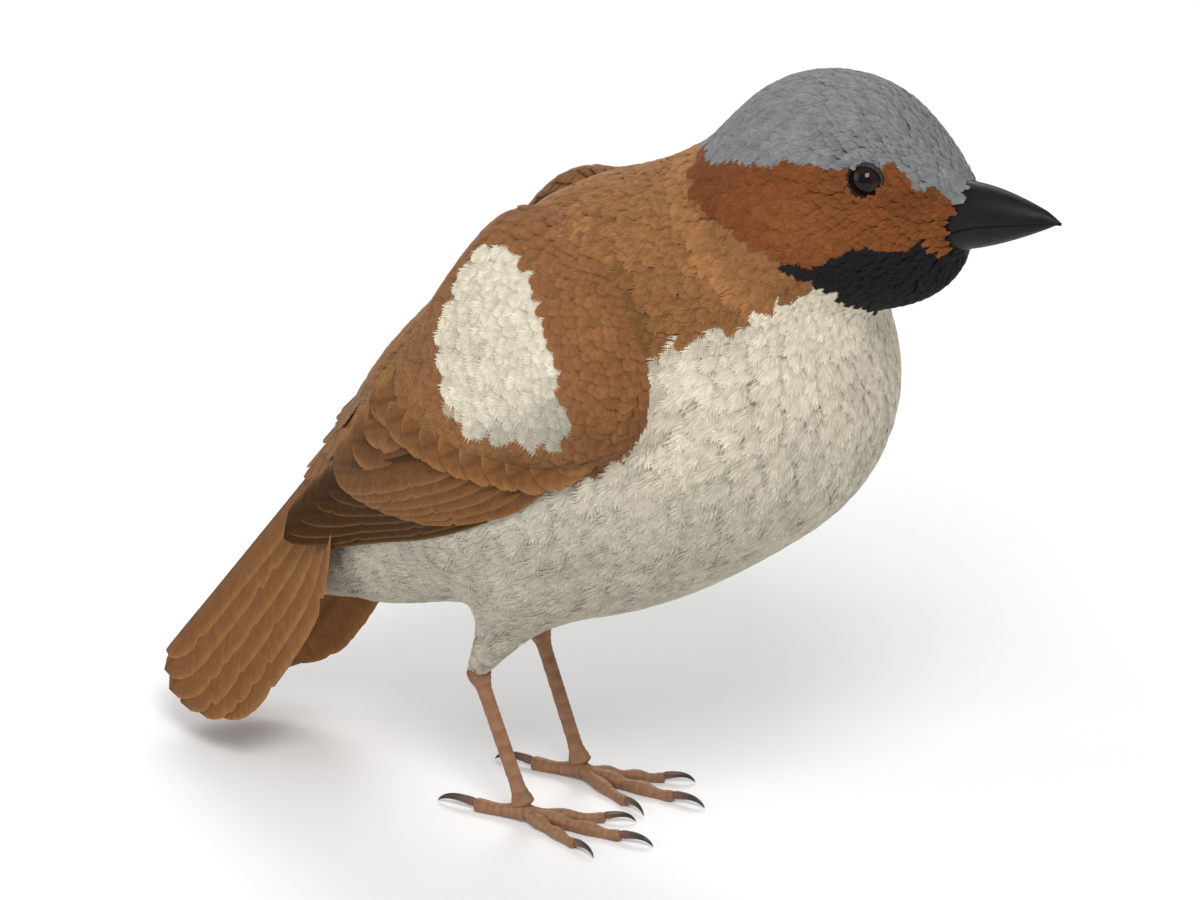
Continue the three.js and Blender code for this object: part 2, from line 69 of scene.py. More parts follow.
# centre, radii, pitch in degrees, melt
MASSES = [
    ((14, 0, 56), (32.5, 20.5, 22.5), 42, 1),
    ((28, 0, 61.5), (22.5, 20.5, 21.5), 20, 10),
    ((7.5, 0, 45.5), (24, 18.5, 16), 10, 10),
    ((13, 0, 69.3), (19, 15.2, 11.6), 33, 9),
    ((-12, 0, 47), (18.5, 9, 8.5), 55, 9),
    ((-11, 0, 33.3), (17, 9, 8), 30, 8),
    ((34.7, 0, 81.2), (15, 13.2, 13), 42, 8),
    ((44.3, 0, 91), (14.9, 11.8, 12.7), 4, 5),
    ((46, 4.6, 86.6), (9.5, 7, 7.5), 10, 5),
    ((46, -4.6, 86.6), (9.5, 7, 7.5), 10, 5),
    ((55.4, 0, 89.8), (7.2, 5.6, 6.2), -4, 5),
    ((52.8, 0, 82.4), (8, 6.5, 6), 20, 5),
]


def mass_distance(P, m):
    (cx, cy, cz), (a, b, d), pitch, _ = m
    c, s = math.cos(math.radians(pitch)), math.sin(math.radians(pitch))
    dx, dy, dz = P[..., 0] - cx, P[..., 1] - cy, P[..., 2] - cz
    u, w = dx * c + dz * s, -dx * s + dz * c
    k0 = np.sqrt((u / a) ** 2 + (dy / b) ** 2 + (w / d) ** 2)
    k1 = np.sqrt((u / a**2) ** 2 + (dy / b**2) ** 2 + (w / d**2) ** 2) + 1e-9
    return k0 * (k0 - 1) / k1


def melt(d, e, k):
    h = np.maximum(k - np.abs(d - e), 0) / k
    return np.minimum(d, e) - h * h * k / 4


def body_field(P):
    d = mass_distance(P, MASSES[0])
    for m in MASSES[1:]:
        d = melt(d, mass_distance(P, m), m[3])
    return d


def ramp(a, b, t):
    k = np.clip((t - a) / (b - a), 0, 1)
    return k * k * (3 - 2 * k)


def cone(P, a, b, ra, rb):
    """Distance to a tapered limb from a to b."""
    a, b = np.asarray(a, float), np.asarray(b, float)
    ab = b - a
    t = np.clip(((P - a) @ ab) / (ab @ ab), 0, 1)
    return np.linalg.norm(P - (a + t[..., None] * ab), axis=-1) - (ra + (rb - ra) * t)


def wing_sh(P):
    """Wing coordinates of a point: along the chord from the wrist, and up towards the back."""
    q = P[..., [0, 2]] - WRIST
    return q @ WDIR, q @ WUP


def wing_reach(s):
    """How far the folded wing reaches over and under its axis, s from 0 at the wrist to 1 at the tip."""
    s = np.clip(s, 0.0, 1.0)
    front = np.minimum(s / 0.1, 1) ** 0.45
    blunt = np.where(s > 0.94, np.sqrt(np.maximum(1 - s, 0) / 0.06), 1)
    up = (17.5 * (1 - ramp(0.25, 0.85, s)) + 8.5 * (1 - s) ** 0.36) * front * blunt
    down = (7.6 * np.minimum(s / 0.3, 1) ** 0.5 * (1 - ramp(0.5, 1, s)) + 3.6 * (1 - s) ** 0.3) * blunt
    return up, down


def rounded(points, rounds=2):
    """Closed outline with its corners cut."""
    q = np.array(points, float)
    for _ in range(rounds):
        nxt = np.roll(q, -1, 0)
        q = np.stack([0.75 * q + 0.25 * nxt, 0.25 * q + 0.75 * nxt], 1).reshape(-1, 2)
    return q


def distance_map(points, rounds=2):
    """Signed distance, positive inside, to a closed outline in wing coordinates, on a half millimetre grid."""
    q = rounded(points, rounds)
    A, B = q, np.roll(q, -1, 0)
    a, b = np.meshgrid(np.arange(-14, 72.1, 0.5), np.arange(-22, 42.1, 0.5), indexing="ij")
    X = np.stack([a, b], -1)[..., None, :]
    ab = B - A
    t = np.clip(((X - A) * ab).sum(-1) / (ab * ab).sum(-1), 0, 1)
    d = np.sqrt((((X - A) - t[..., None] * ab) ** 2).sum(-1).min(-1))
    cross = ((A[:, 1] > X[..., 1]) != (B[:, 1] > X[..., 1])) & (X[..., 0] < (B[:, 0] - A[:, 0]) * (X[..., 1] - A[:, 1]) / (B[:, 1] - A[:, 1] + 1e-12) + A[:, 0])
    return np.where(cross.sum(-1) % 2 == 1, d, -d)


def read_map(M, S, H):
    fa = np.clip((S + 14) / 0.5, 0, M.shape[0] - 1.001)
    fb = np.clip((H + 22) / 0.5, 0, M.shape[1] - 1.001)
    i, j = fa.astype(int), fb.astype(int)
    u, v = fa - i, fb - j
    return M[i, j] * (1 - u) * (1 - v) + M[i + 1, j] * u * (1 - v) + M[i, j + 1] * (1 - u) * v + M[i + 1, j + 1] * u * v


# outlines in wing coordinates: the coverts' lobe, its pale patch, and the flight feathers' panel
LOBE = distance_map([(9, 27), (5, 24), (1.5, 19), (-1, 13), (-2.4, 6), (-1.8, 0), (1.5, -4.4), (7, -6.4), (14, -5.4), (22, -1.5), (30, 2.8), (37, 7.6), (38.5, 11.5), (34, 17), (28, 21.5), (21, 26), (15, 28)])
PALE = distance_map([(13, 23), (18, 23), (22.5, 19), (25.8, 14), (27, 10), (25.5, 6), (22, 3.2), (17, 0), (11.5, -1.8), (9, 0), (8.6, 4), (8, 8), (8.4, 13), (10.6, 19)], 1)
PANEL = distance_map([(16, 2), (36, 12), (46, 10), (52, 7.5), (60, 4), (65, 1), (62, -2.6), (44, -6.5), (27, -8), (17, -7)])


def wing_swell(P):
    """How far the folded wing's coverts stand off the body: a shelf, crisp in front and below, soft above."""
    S, H = wing_sh(P)
    k = read_map(LOBE, S, H)
    soft = 1.7 + 1.8 * ramp(14, 24, H)
    rise = 2.5 + 1.2 * ramp(6, 20, H) * ramp(8, 18, S) - 2.4 * ramp(12, 20, H) * (1 - ramp(5, 17, S))
    return rise * ramp(-0.15, 1.0, k / soft) * ramp(3.0, 7.5, np.abs(P[..., 1]))


def trunk_outline(P):
    """The feathered outline of body and thighs."""
    d = body_field(P)
    for side in (1, -1):
        top = (THIGH_TOP[0], side * THIGH_TOP[1], THIGH_TOP[2])
        low = (HEEL[0] + 0.3, side * HEEL_Y, HEEL[1] + 0.6)
        d = melt(d, cone(P, top, low, 6.0, 1.45), 4.0)
    return d


def outline(P):
    """The same with the folded wings' shelf."""
    return trunk_outline(P) - wing_swell(P)


def gradient(f, P, eps=0.06):
    f0 = f(P)
    g = np.empty_like(P)
    for k in range(3):
        Q = P.copy()
        Q[..., k] += eps
        g[..., k] = (f(Q) - f0) / eps
    n = np.linalg.norm(g, axis=-1, keepdims=True) + 1e-9
    return f0, g / n, n[..., 0]


def settle(f, P, level, rounds=2):
    """Moves points onto a level of the field, along its slope. Returns the points and the normals there."""
    for _ in range(rounds):
        f0, n, g = gradient(f, P)
        P = P + n * (np.clip((level - f0) / np.maximum(g, 0.5), -3, 3))[..., None]
    _, n, _ = gradient(f, P)
    return P, n


# ------------------------------------------------------------------ lie of the coat
_way = np.array([(63, 0, 89.5), (55, 0, 90), (47, 0, 90), (40, 0, 86), (33, 0, 78), (24, 0, 66), (13, 0, 53), (0, 0, 43), (-11, 0, 36), (-22, 0, 26)], float)
_t = np.linspace(0, len(_way) - 1, 90)
SPINE = np.stack([np.interp(_t, np.arange(len(_way)), _way[:, k]) for k in range(3)], 1)
for _ in range(6):
    SPINE[1:-1] = (SPINE[:-2] + 2 * SPINE[1:-1] + SPINE[2:]) / 4
SPINE_DIR = np.gradient(SPINE, axis=0)
SPINE_DIR /= np.linalg.norm(SPINE_DIR, axis=1, keepdims=True)
SPINE_AT = np.concatenate([[0], np.cumsum(np.linalg.norm(np.diff(SPINE, axis=0), axis=1))])


def along(P):
    """Soft nearest place on the spine: its direction and its distance from the bill."""
    d2 = ((P[:, None, :] - SPINE[None]) ** 2).sum(-1)
    w = np.exp(-(d2 - d2.min(1, keepdims=True)) / 70.0)
    w /= w.sum(1, keepdims=True)
    return w @ SPINE_DIR, w @ SPINE_AT


def eye_axis(side):
    out = np.array([0.24, side * 0.965, 0.10])
    return np.array([EYE_X, side * EYE_Y, EYE_Z]), out / np.linalg.norm(out)


def from_eye(P, side):
    """Unit direction and distance of points from an eye's axis; far away for the other side of the head."""
    C, out = eye_axis(side)
    q = P - C
    a = q @ out
    q = q - a[..., None] * out
    rho = np.linalg.norm(q, axis=-1)
    return q / (rho[..., None] + 1e-9), np.where(a < -2.5, 50.0, rho)


def lie(P, n):
    """Unit direction in which the coat lies at surface points."""
    T, at = along(P)
    away = P - np.array([64.0, 0, 89.5])
    away /= np.linalg.norm(away, axis=1, keepdims=True) + 1e-9
    near = 1 - ramp(4, 17, at)
    T = T * (1 - near[:, None]) + away * near[:, None]
    # the breast and throat lie downwards, past the crop
    front = ramp(40, 50, P[:, 0]) * (1 - ramp(76, 86, P[:, 2]))
    T = T + front[:, None] * np.array([-0.1, 0, -0.9])
    # shoulders and coverts follow the wing
    sw = np.clip(wing_swell(P) / 2.0, 0, 1)[:, None]
    S, H = wing_sh(P)
    fan = np.clip(H / 60.0, -0.25, 0.35)
    wd = np.stack([WDIR[0] - WUP[0] * fan, np.zeros(len(P)), WDIR[1] - WUP[1] * fan], 1)
    T = T * (1 - sw) + wd * sw
    # thighs lie down the shank
    for side in (1, -1):
        top = np.array([THIGH_TOP[0], side * THIGH_TOP[1], THIGH_TOP[2]])
        low = np.array([HEEL[0], side * HEEL_Y, HEEL[1]])
        axis = (low - top) / np.linalg.norm(low - top)
        near = (1 - ramp(0.0, 3.0, cone(P, top, low, 5.6, 1.6))) * ramp(0.25, 0.6, (P - top) @ axis / np.linalg.norm(low - top))
        T = T * (1 - near[:, None]) + axis * near[:, None]
    T = T - n * (T * n).sum(1, keepdims=True)
    T = T / (np.linalg.norm(T, axis=1, keepdims=True) + 1e-9)
    # and part round the eyes
    for side in (1, -1):
        rad, rho = from_eye(P, side)
        inward = np.minimum((T * rad).sum(1), 0.0) * (1 - ramp(2.6, 5.0, rho))
        T = T - 1.15 * inward[:, None] * rad
    T = T - n * (T * n).sum(1, keepdims=True)
    return T / (np.linalg.norm(T, axis=1, keepdims=True) + 1e-9)


# ------------------------------------------------------------------ markings and painted shade
def srgb(code):
    c = np.array([int(code[k : k + 2], 16) / 255 for k in (0, 2, 4)])
    return np.where(c <= 0.04045, c / 12.92, ((c + 0.055) / 1.055) ** 2.4)


GREY = srgb("78797a")
CHESTNUT = srgb("764320")
CHESTNUT_DARK = srgb("5c3119")
BIB = srgb("171517")
MANTLE = srgb("9b6c41")
MANTLE_DARK = srgb("3b2a1c")
RUMP = srgb("8a7358")
BREAST = srgb("ccc2ae")
BELLY_GREY_AND_SHADE = srgb("aca595")
PATCH = srgb("dad1bc")
LESSER = srgb("8e5f3a")
COVERT = srgb("8b603b")
EDGE = srgb("a67849")
FLIGHT = srgb("40280d")
FLIGHT_DARK = srgb("2b1d10")
TAIL_BROWN = srgb("875a34")
VANE_BROWN = srgb("835733")


def wobble(P, scale, seed):
    """Smooth, repeatable variation between -1 and 1."""
    q = P / scale
    return (
        np.sin(q[:, 0] * 1.7 + q[:, 1] * 2.3 + seed)
        + np.sin(q[:, 1] * 1.9 - q[:, 2] * 2.1 + seed * 1.7)
        + np.sin(q[:, 2] * 2.7 + q[:, 0] * 1.1 + seed * 2.3)
    ) / 3


def mix(a, b, t):
    t = np.asarray(t)[..., None]
    return a * (1 - t) + b * t


def markings_and_shading(P, q=1.0, on=None):
    """Colour of the coat at points of the body, with painted shade and light in it, and masks of its regions; q narrows
    the borders between colours; on says which are wing coverts.
    """
    x, y, z = P[:, 0], np.abs(P[:, 1]), P[:, 2]
    n = len(P)
    w1 = wobble(P, 2.2, 1.0)
    w2 = wobble(P, 5.0, 4.0)
    # under side: cream breast going greyer and darker lower down on flanks and belly, partly the plumage's own grey and
    # partly painted shade
    under = mix(np.tile(BREAST, (n, 1)), BELLY_GREY_AND_SHADE, np.clip(ramp(74, 34, z) + 0.15 * w2, 0, 1))
    # back
    back = mix(np.tile(MANTLE, (n, 1)), RUMP, 1 - ramp(40, 62, z + 0.4 * w2))
    side_line = z - (0.55 * x + 54.0) + 0.9 * w1
    upper = ramp(-0.6 * q, 0.6 * q, side_line)
    # behind the wing the upper side is what faces up and back
    tail_line = (z - (0.95 * x + 57.5)) + 0.9 * w1
    fore = ramp(23, 27, x)
    upper = upper * fore + ramp(-1.0 * q, 1.0 * q, np.where(x > 18, np.maximum(tail_line, side_line), tail_line)) * (1 - fore)
    neck = (x - 41.0) * math.cos(math.radians(48)) + (z - 85.5) * math.sin(math.radians(48))
    # painted light and shade on the back: brighter towards the top, darker towards the front and on the sides next to
    # the head's border
    back = back * ((0.90 + 0.16 * ramp(76, 82, z)) * (1 - 0.13 * ramp(17, 30, x)) * (1 - 0.25 * ramp(-7.0, -4.0, neck) * ramp(3, 9, y)))[:, None]
    c = mix(under, back, upper)
    # head
    # the head's lower border runs further forward on the sides than at nape and throat
    low = ramp(42, 47, x)
    aside = (1 - low) * ramp(2, 8, y) + low * ramp(0.5, 4, y)
    border = (1 - aside) * (-4.5 + 1.5 * low) + aside * np.interp(x, [29, 32, 37, 40, 45, 51], [-4.6, -3.7, -2.1, -0.9, 0.0, -0.8])
    head = ramp(-0.7 * q, 0.7 * q, neck - border + 0.6 * w1)
    crown = ramp(-0.4 * q, 0.4 * q, z - 96.3 + 0.55 * w1 + 0.27 * np.maximum(44 - x, 0) + 0.62 * np.maximum(x - 55, 0))
    face = mix(np.tile(CHESTNUT, (n, 1)), CHESTNUT_DARK, np.clip(0.35 * ramp(48, 34, x) + 0.12 * w2, 0, 1))
    # a little paler and greyer on the ear coverts
    ear = np.exp(-(((x - 46.5) / 5.5) ** 2 + ((z - 89.5) / 3.6) ** 2))
    face = mix(face, srgb("8f5b3a"), 0.18 * ear)
    hc = mix(face, GREY, crown)
    lores = np.exp(-(((x - 57.6) / 2.6) ** 2 + ((z - 92.6) / 1.5) ** 2)) * ramp(1.5, 3.0, y)
    hc = mix(hc, CHESTNUT_DARK, np.clip(lores, 0, 0.5) * (1 - crown))
    top = 83.6 + 3.0 * ramp(44, 54, x) - 1.6 * ramp(58, 62, x)
    top = top + 2.0 * (1 - ramp(1.0, 4.2, y)) * ramp(54, 58, x)
    bib = ramp(-0.5 * q, 0.5 * q, top - z + 0.7 * w1) * ramp(-0.8 * q, 0.8 * q, x - 41.6 + 0.6 * w1)
    hc = mix(hc, BIB, bib)
    c = mix(c, hc, head)
    # wing
    S, H = wing_sh(P)
    on_wing = np.clip(wing_swell(P) / 0.9, 0, 1)
    if on is not None:
        on_wing = np.broadcast_to(np.asarray(on, float), (n,))
    wc = mix(np.tile(LESSER, (n, 1)), COVERT, ramp(4, 22, S + 0.8 * w1))
    # painted shade: the coverts darker towards the wing's lower edge
    wc = wc * (1 - 0.2 * (1 - ramp(-3, 7, H)))[:, None]
    patch = ramp(-0.35 * q, 0.35 * q, read_map(PALE, S, H) + 0.5 * w1)
    # painted shade: the pale patch darker towards its lower part
    wc = mix(wc, PATCH * (1 - 0.46 * (1 - ramp(-1, 8, H + 1.5 * w2)))[:, None], patch)
    c = mix(c, wc, on_wing)
    # the coat is shaded where the folded wing lies on it
    k = read_map(LOBE, S, H)
    crease = np.exp(-(((k + 0.6) / 0.8) ** 2)) * (1 - ramp(12, 20, S)) * ramp(6, 9, y) * (1 - on_wing)
    c = c * (1 - 0.28 * crease)[:, None]
    return c, on_wing, patch * on_wing, head, crown * head, upper * (1 - head) * (1 - on_wing), bib * head


# ------------------------------------------------------------------ unwrap of the body's own shape
def unwrap(P):
    """Along the spine and round it."""
    _, at = along(P)
    idx = np.interp(at, SPINE_AT, np.arange(len(SPINE)))
    C = np.stack([np.interp(idx, np.arange(len(SPINE)), SPINE[:, k]) for k in range(3)], 1)
    T = np.stack([np.interp(idx, np.arange(len(SPINE)), SPINE_DIR[:, k]) for k in range(3)], 1)
    upv = np.stack([-T[:, 2], np.zeros(len(P)), T[:, 0]], 1) * -1
    q = P - C
    ang = np.arctan2(q[:, 1], (q * upv).sum(1))
    return np.stack([0.02 + 0.96 * (ang / (2 * math.pi) + 0.5), 0.02 + 0.96 * np.clip(at / SPINE_AT[-1], 0, 1)], 1)


# ------------------------------------------------------------------ meshes
def put(P):
    Q = np.array(P, dtype=np.float64)
    Q[:, 0] -= SHIFT
    return Q / 1000.0


def make(name, V, F, material, col=None, uv=None, uv2=None, smooth=True, replaces=(), normals=None):
    """One object from arrays: V in layout millimetres, F faces of three or four corners."""
    me = bpy.data.meshes.new(name)
    F = np.asarray(F, np.int32)
    k = F.shape[1]
    me.vertices.add(len(V))
    me.vertices.foreach_set("co", put(V).astype(np.float32).ravel())
    me.loops.add(F.size)
    me.loops.foreach_set("vertex_index", F.ravel())
    me.polygons.add(len(F))
    me.polygons.foreach_set("loop_start", np.arange(0, F.size, k, dtype=np.int32))
    me.polygons.foreach_set("use_smooth", np.full(len(F), bool(smooth)))
    me.update(calc_edges=True)
    if col is not None:
        a = me.color_attributes.new(name="Col", type="FLOAT_COLOR", domain="POINT")
        a.data.foreach_set("color", np.concatenate([col, np.ones((len(V), 1))], 1).astype(np.float32).ravel())
    for key, data in (("OFBake", uv), ("Vane", uv2)):
        if data is not None:
            layer = me.uv_layers.new(name=key)
            layer.data.foreach_set("uv", np.asarray(data, np.float32)[F.ravel()].ravel())
    me.validate()
    if normals is not None:
        me.normals_split_custom_set(normals.reshape(-1, 3).tolist())
    ob = bpy.data.objects.new(name, me)
    bpy.context.scene.collection.objects.link(ob)
    me.materials.append(material)
    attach(ob, "root")
    if replaces:
        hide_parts(*replaces)
    return ob


# ------------------------------------------------------------------ materials
class Nodes:
    def __init__(self, name):
        self.mat = bpy.data.materials.new(name)
        self.mat.use_nodes = True
        self.tree = self.mat.node_tree
        self.bsdf = next(n for n in self.tree.nodes if n.type == "BSDF_PRINCIPLED")

    def add(self, kind, **props):
        n = self.tree.nodes.new(kind)
        for k, v in props.items():
            setattr(n, k, v)
        return n

    def link(self, a, b):
        self.tree.links.new(a, b)

    def set(self, **values):
        for k, v in values.items():
            self.bsdf.inputs[k.replace("_", " ")].default_value = v

    def attr(self, name="Col"):
        n = self.add("ShaderNodeAttribute")
        n.attribute_name = name
        return n.outputs["Color"]

    def noise(self, scale, detail=3, vector=None, rough=0.5):
        n = self.add("ShaderNodeTexNoise")
        n.inputs["Scale"].default_value = scale
        n.inputs["Detail"].default_value = detail
        n.inputs["Roughness"].default_value = rough
        if vector is None:
            c = self.add("ShaderNodeTexCoord")
            vector = c.outputs["Object"]
        self.link(vector, n.inputs["Vector"])
        return n.outputs["Fac"]

    def remap(self, value, a, b, c, d):
        n = self.add("ShaderNodeMapRange")
        self.link(value, n.inputs["Value"])
        for key, v in (("From Min", a), ("From Max", b), ("To Min", c), ("To Max", d)):
            n.inputs[key].default_value = v
        return n.outputs["Result"]

    def shade(self, colour, factor):
        """colour times a grey factor"""
        n = self.add("ShaderNodeVectorMath", operation="SCALE")
        self.link(colour, n.inputs[0])
        self.link(factor, n.inputs["Scale"])
        return n.outputs[0]

    def bump(self, height, strength, distance, normal=None):
        n = self.add("ShaderNodeBump")
        n.inputs["Strength"].default_value = strength
        n.inputs["Distance"].default_value = distance
        self.link(height, n.inputs["Height"])
        if normal is not None:
            self.link(normal, n.inputs["Normal"])
        return n.outputs["Normal"]


def feather_material(name, rough=0.72, sheen=0.25, vane=False, spec=0.3):
    m = Nodes(name)
    col = m.attr()
    fine = m.noise(900, 3)
    broad = m.noise(120, 2)
    f = m.add("ShaderNodeMath", operation="MULTIPLY")
    m.link(m.remap(fine, 0.3, 0.7, 0.9, 1.1), f.inputs[0])
    m.link(m.remap(broad, 0.3, 0.7, 0.94, 1.06), f.inputs[1])
    m.link(m.shade(col, f.outputs[0]), m.bsdf.inputs["Base Color"])
    m.set(Roughness=rough, Metallic=0.0)
    m.bsdf.inputs["Specular IOR Level"].default_value = spec
    m.bsdf.inputs["Sheen Weight"].default_value = sheen
    m.bsdf.inputs["Sheen Roughness"].default_value = 0.5
    if vane:
        uv = m.add("ShaderNodeUVMap")
        uv.uv_map = "Vane"
        sep = m.add("ShaderNodeSeparateXYZ")
        m.link(uv.outputs["UV"], sep.inputs[0])
        slant = m.add("ShaderNodeMath", operation="MULTIPLY_ADD")
        m.link(sep.outputs["Y"], slant.inputs[0])
        slant.inputs[1].default_value = -1.15
        m.link(sep.outputs["X"], slant.inputs[2])
        wave = m.add("ShaderNodeMath", operation="SINE")
        scale = m.add("ShaderNodeMath", operation="MULTIPLY")
        m.link(slant.outputs[0], scale.inputs[0])
        scale.inputs[1].default_value = 2 * math.pi / 0.42
        m.link(scale.outputs[0], wave.inputs[0])
        fine2 = m.noise(2600, 2)
        add = m.add("ShaderNodeMath", operation="MULTIPLY_ADD")
        m.link(fine2, add.inputs[0])
        add.inputs[1].default_value = 0.8
        # the barbs differ a little in tone
        place = m.add("ShaderNodeCombineXYZ")
        m.link(slant.outputs[0], place.inputs["X"])
        m.link(sep.outputs["Y"], place.inputs["Y"])
        thin_ = m.add("ShaderNodeMapping")
        thin_.inputs["Scale"].default_value = (2.2, 0.22, 1.0)
        m.link(place.outputs[0], thin_.inputs["Vector"])
        streak = m.noise(1.0, 3, thin_.outputs["Vector"], 0.6)
        g = m.add("ShaderNodeMath", operation="MULTIPLY")
        m.link(f.outputs[0], g.inputs[0])
        m.link(m.remap(streak, 0.3, 0.7, 0.86, 1.14), g.inputs[1])
        m.link(m.shade(col, g.outputs[0]), m.bsdf.inputs["Base Color"])
        m.link(wave.outputs[0], add.inputs[2])
        m.link(m.bump(add.outputs[0], 0.55, 0.00012), m.bsdf.inputs["Normal"])
    else:
        m.link(m.bump(m.noise(3200, 2), 0.3, 0.00006), m.bsdf.inputs["Normal"])
    return m.mat


MAT_COAT = feather_material("coat", 0.8, 0.06, spec=0.12)
MAT_BIB = feather_material("coat_dark", 0.65, 0.0, spec=0.12)
MAT_VANE = feather_material("vane", 0.62, 0.0, vane=True, spec=0.08)

m = Nodes("skin")
m.link(m.shade(m.attr(), m.remap(m.noise(500, 4), 0.3, 0.7, 0.75, 0.95)), m.bsdf.inputs["Base Color"])
m.set(Roughness=0.85)
m.link(m.bump(m.noise(1800, 4), 0.6, 0.0002), m.bsdf.inputs["Normal"])
MAT_SKIN = m.mat

m = Nodes("lid")
m.link(m.shade(m.attr(), m.remap(m.noise(2500, 3), 0.3, 0.7, 0.8, 1.2)), m.bsdf.inputs["Base Color"])
m.set(Roughness=0.6)
m.link(m.bump(m.noise(4000, 2), 0.6, 0.0001), m.bsdf.inputs["Normal"])
MAT_LID = m.mat

m = Nodes("bill_horn")
m.link(m.shade(m.attr(), m.remap(m.noise(420, 5), 0.3, 0.7, 0.78, 1.22)), m.bsdf.inputs["Base Color"])
m.set(Roughness=0.45)
m.bsdf.inputs["Specular IOR Level"].default_value = 0.15
m.bsdf.inputs["Coat Weight"].default_value = 0.04
m.bsdf.inputs["Coat Roughness"].default_value = 0.3
_tc = m.add("ShaderNodeTexCoord")
_mp = m.add("ShaderNodeMapping")
_mp.inputs["Scale"].default_value = (0.25, 1.6, 1.6)
m.link(_tc.outputs["Object"], _mp.inputs["Vector"])
_streak = m.noise(1500, 4, _mp.outputs["Vector"])
m.link(m.remap(_streak, 0.3, 0.7, 0.38, 0.56), m.bsdf.inputs["Roughness"])
m.link(m.bump(_streak, 0.35, 0.00012), m.bsdf.inputs["Normal"])
MAT_BILL = m.mat

m = Nodes("leg_scale")
m.link(m.shade(m.attr(), m.remap(m.noise(900, 4), 0.3, 0.7, 0.85, 1.15)), m.bsdf.inputs["Base Color"])
m.set(Roughness=0.5)
m.bsdf.inputs["Specular IOR Level"].default_value = 0.3
m.bsdf.inputs["Subsurface Weight"].default_value = 0.08
m.bsdf.inputs["Subsurface Radius"].default_value = (0.0008, 0.0004, 0.0002)
m.link(m.bump(m.noise(2600, 3), 0.4, 0.00008), m.bsdf.inputs["Normal"])
MAT_LEG = m.mat

m = Nodes("claw_horn")
m.link(m.shade(m.attr(), m.remap(m.noise(1500, 3), 0.3, 0.7, 0.8, 1.2)), m.bsdf.inputs["Base Color"])
m.set(Roughness=0.35)
m.bsdf.inputs["Specular IOR Level"].default_value = 0.5
m.link(m.bump(m.noise(2200, 3), 0.3, 0.00006), m.bsdf.inputs["Normal"])
MAT_CLAW = m.mat

m = Nodes("eyeball")
m.link(m.attr(), m.bsdf.inputs["Base Color"])
m.set(Roughness=0.1)
m.bsdf.inputs["Specular IOR Level"].default_value = 0.24
m.bsdf.inputs["Coat Weight"].default_value = 0.0
m.bsdf.inputs["Coat Roughness"].default_value = 0.02
MAT_EYE = m.mat

# ------------------------------------------------------------------ camera first
AZ, EL, LENS = 29.0, 23.0, 500.0
PX_PER_MM = 8.2
_a, _e = math.radians(AZ), math.radians(EL)
right = Vector((math.cos(_a), math.sin(_a), 0))
upv = Vector((-math.sin(_a) * math.sin(_e), math.cos(_a) * math.sin(_e), math.cos(_e)))
back = Vector((math.sin(_a) * math.cos(_e), -math.cos(_a) * math.cos(_e), math.sin(_e)))
look = right * ((600 - 517) / PX_PER_MM) + upv * ((796 - 450) / PX_PER_MM)
look = look + back * (look.y / -back.y)
look = (look - Vector((SHIFT, 0, 0))) / 1000
distance = (1200 / PX_PER_MM / 1000) * LENS / 36.0
cam_data = bpy.data.cameras.new("camera")
cam_data.lens = LENS
cam_data.sensor_width = 36.0
cam_data.clip_start = 0.01
cam_data.clip_end = 20
cam = bpy.data.objects.new("camera", cam_data)
bpy.context.scene.collection.objects.link(cam)
cam.location = look + back * distance
cam.rotation_euler = back.to_track_quat("Z", "Y").to_euler()
bpy.context.scene.camera = cam

# ------------------------------------------------------------------ skin
rng = np.random.default_rng(7)


def coat_depth(P):
    """How deep the feathers' roots lie under the outline."""
    x, z = P[:, 0], P[:, 2]
    neck = (x - 41.0) * 0.669 + (z - 85.5) * 0.743
    head = ramp(-9, 3, neck)
    d = 1.9 * (1 - head) + 0.85 * head
    d = d - 0.35 * ramp(54, 61, x) * head
    e = np.sqrt((x - EYE_X) ** 2 + (z - EYE_Z) ** 2)
    d = np.where(z > 86, d - 0.2 * (1 - ramp(2, 5, e)), d)
    d = d * (1 - 0.55 * np.clip(wing_swell(P) / 2.0, 0, 1))
    shank = (1 - ramp(20, 27, z)) * ramp(-14, -8, x)
    return np.maximum(d * (1 - 0.62 * shank), 0.3)


VOX = 0.75
g_lo = np.array([-42.0, -28.0, 14.0])
g_hi = np.array([66.0, 28.0, 108.0])
dims = np.ceil((g_hi - g_lo) / VOX).astype(int) + 1
ax = [g_lo[k] + VOX * np.arange(dims[k]) for k in range(3)]
G = np.stack(np.meshgrid(*ax, indexing="ij"), -1)
vals = np.empty(G.shape[:3])
for i in range(0, dims[0], 12):
    blk = G[i : i + 12].reshape(-1, 3)
    v = outline(blk) + coat_depth(blk)
    for side in (1, -1):
        # the orbit: room for the eyeball and its lids
        r = np.sqrt((blk[:, 0] - EYE_X) ** 2 + (blk[:, 1] - side * EYE_Y) ** 2 + (blk[:, 2] - EYE_Z) ** 2)
        v = np.maximum(v, (EYE_R + 0.12) - r)
        C, out = eye_axis(side)
        a = (blk - C) @ out
        rho = np.linalg.norm(blk - C - a[:, None] * out, axis=1)
        v = np.maximum(v, np.minimum(2.05 + 0.3 * (a - 1.4) - rho, a - 0.9))
    vals[i : i + 12] = v.reshape(vals[i : i + 12].shape)
grid = vdb.FloatGrid(1e3)
grid.copyFromArray(vals.astype(np.float32))
pts, quads = grid.convertToQuads(0.0)[:2]
pts = np.asarray(pts, float) * VOX + g_lo
quads = np.asarray(quads)
skin_col = markings_and_shading(pts)[0]
skin_uv = unwrap(pts)
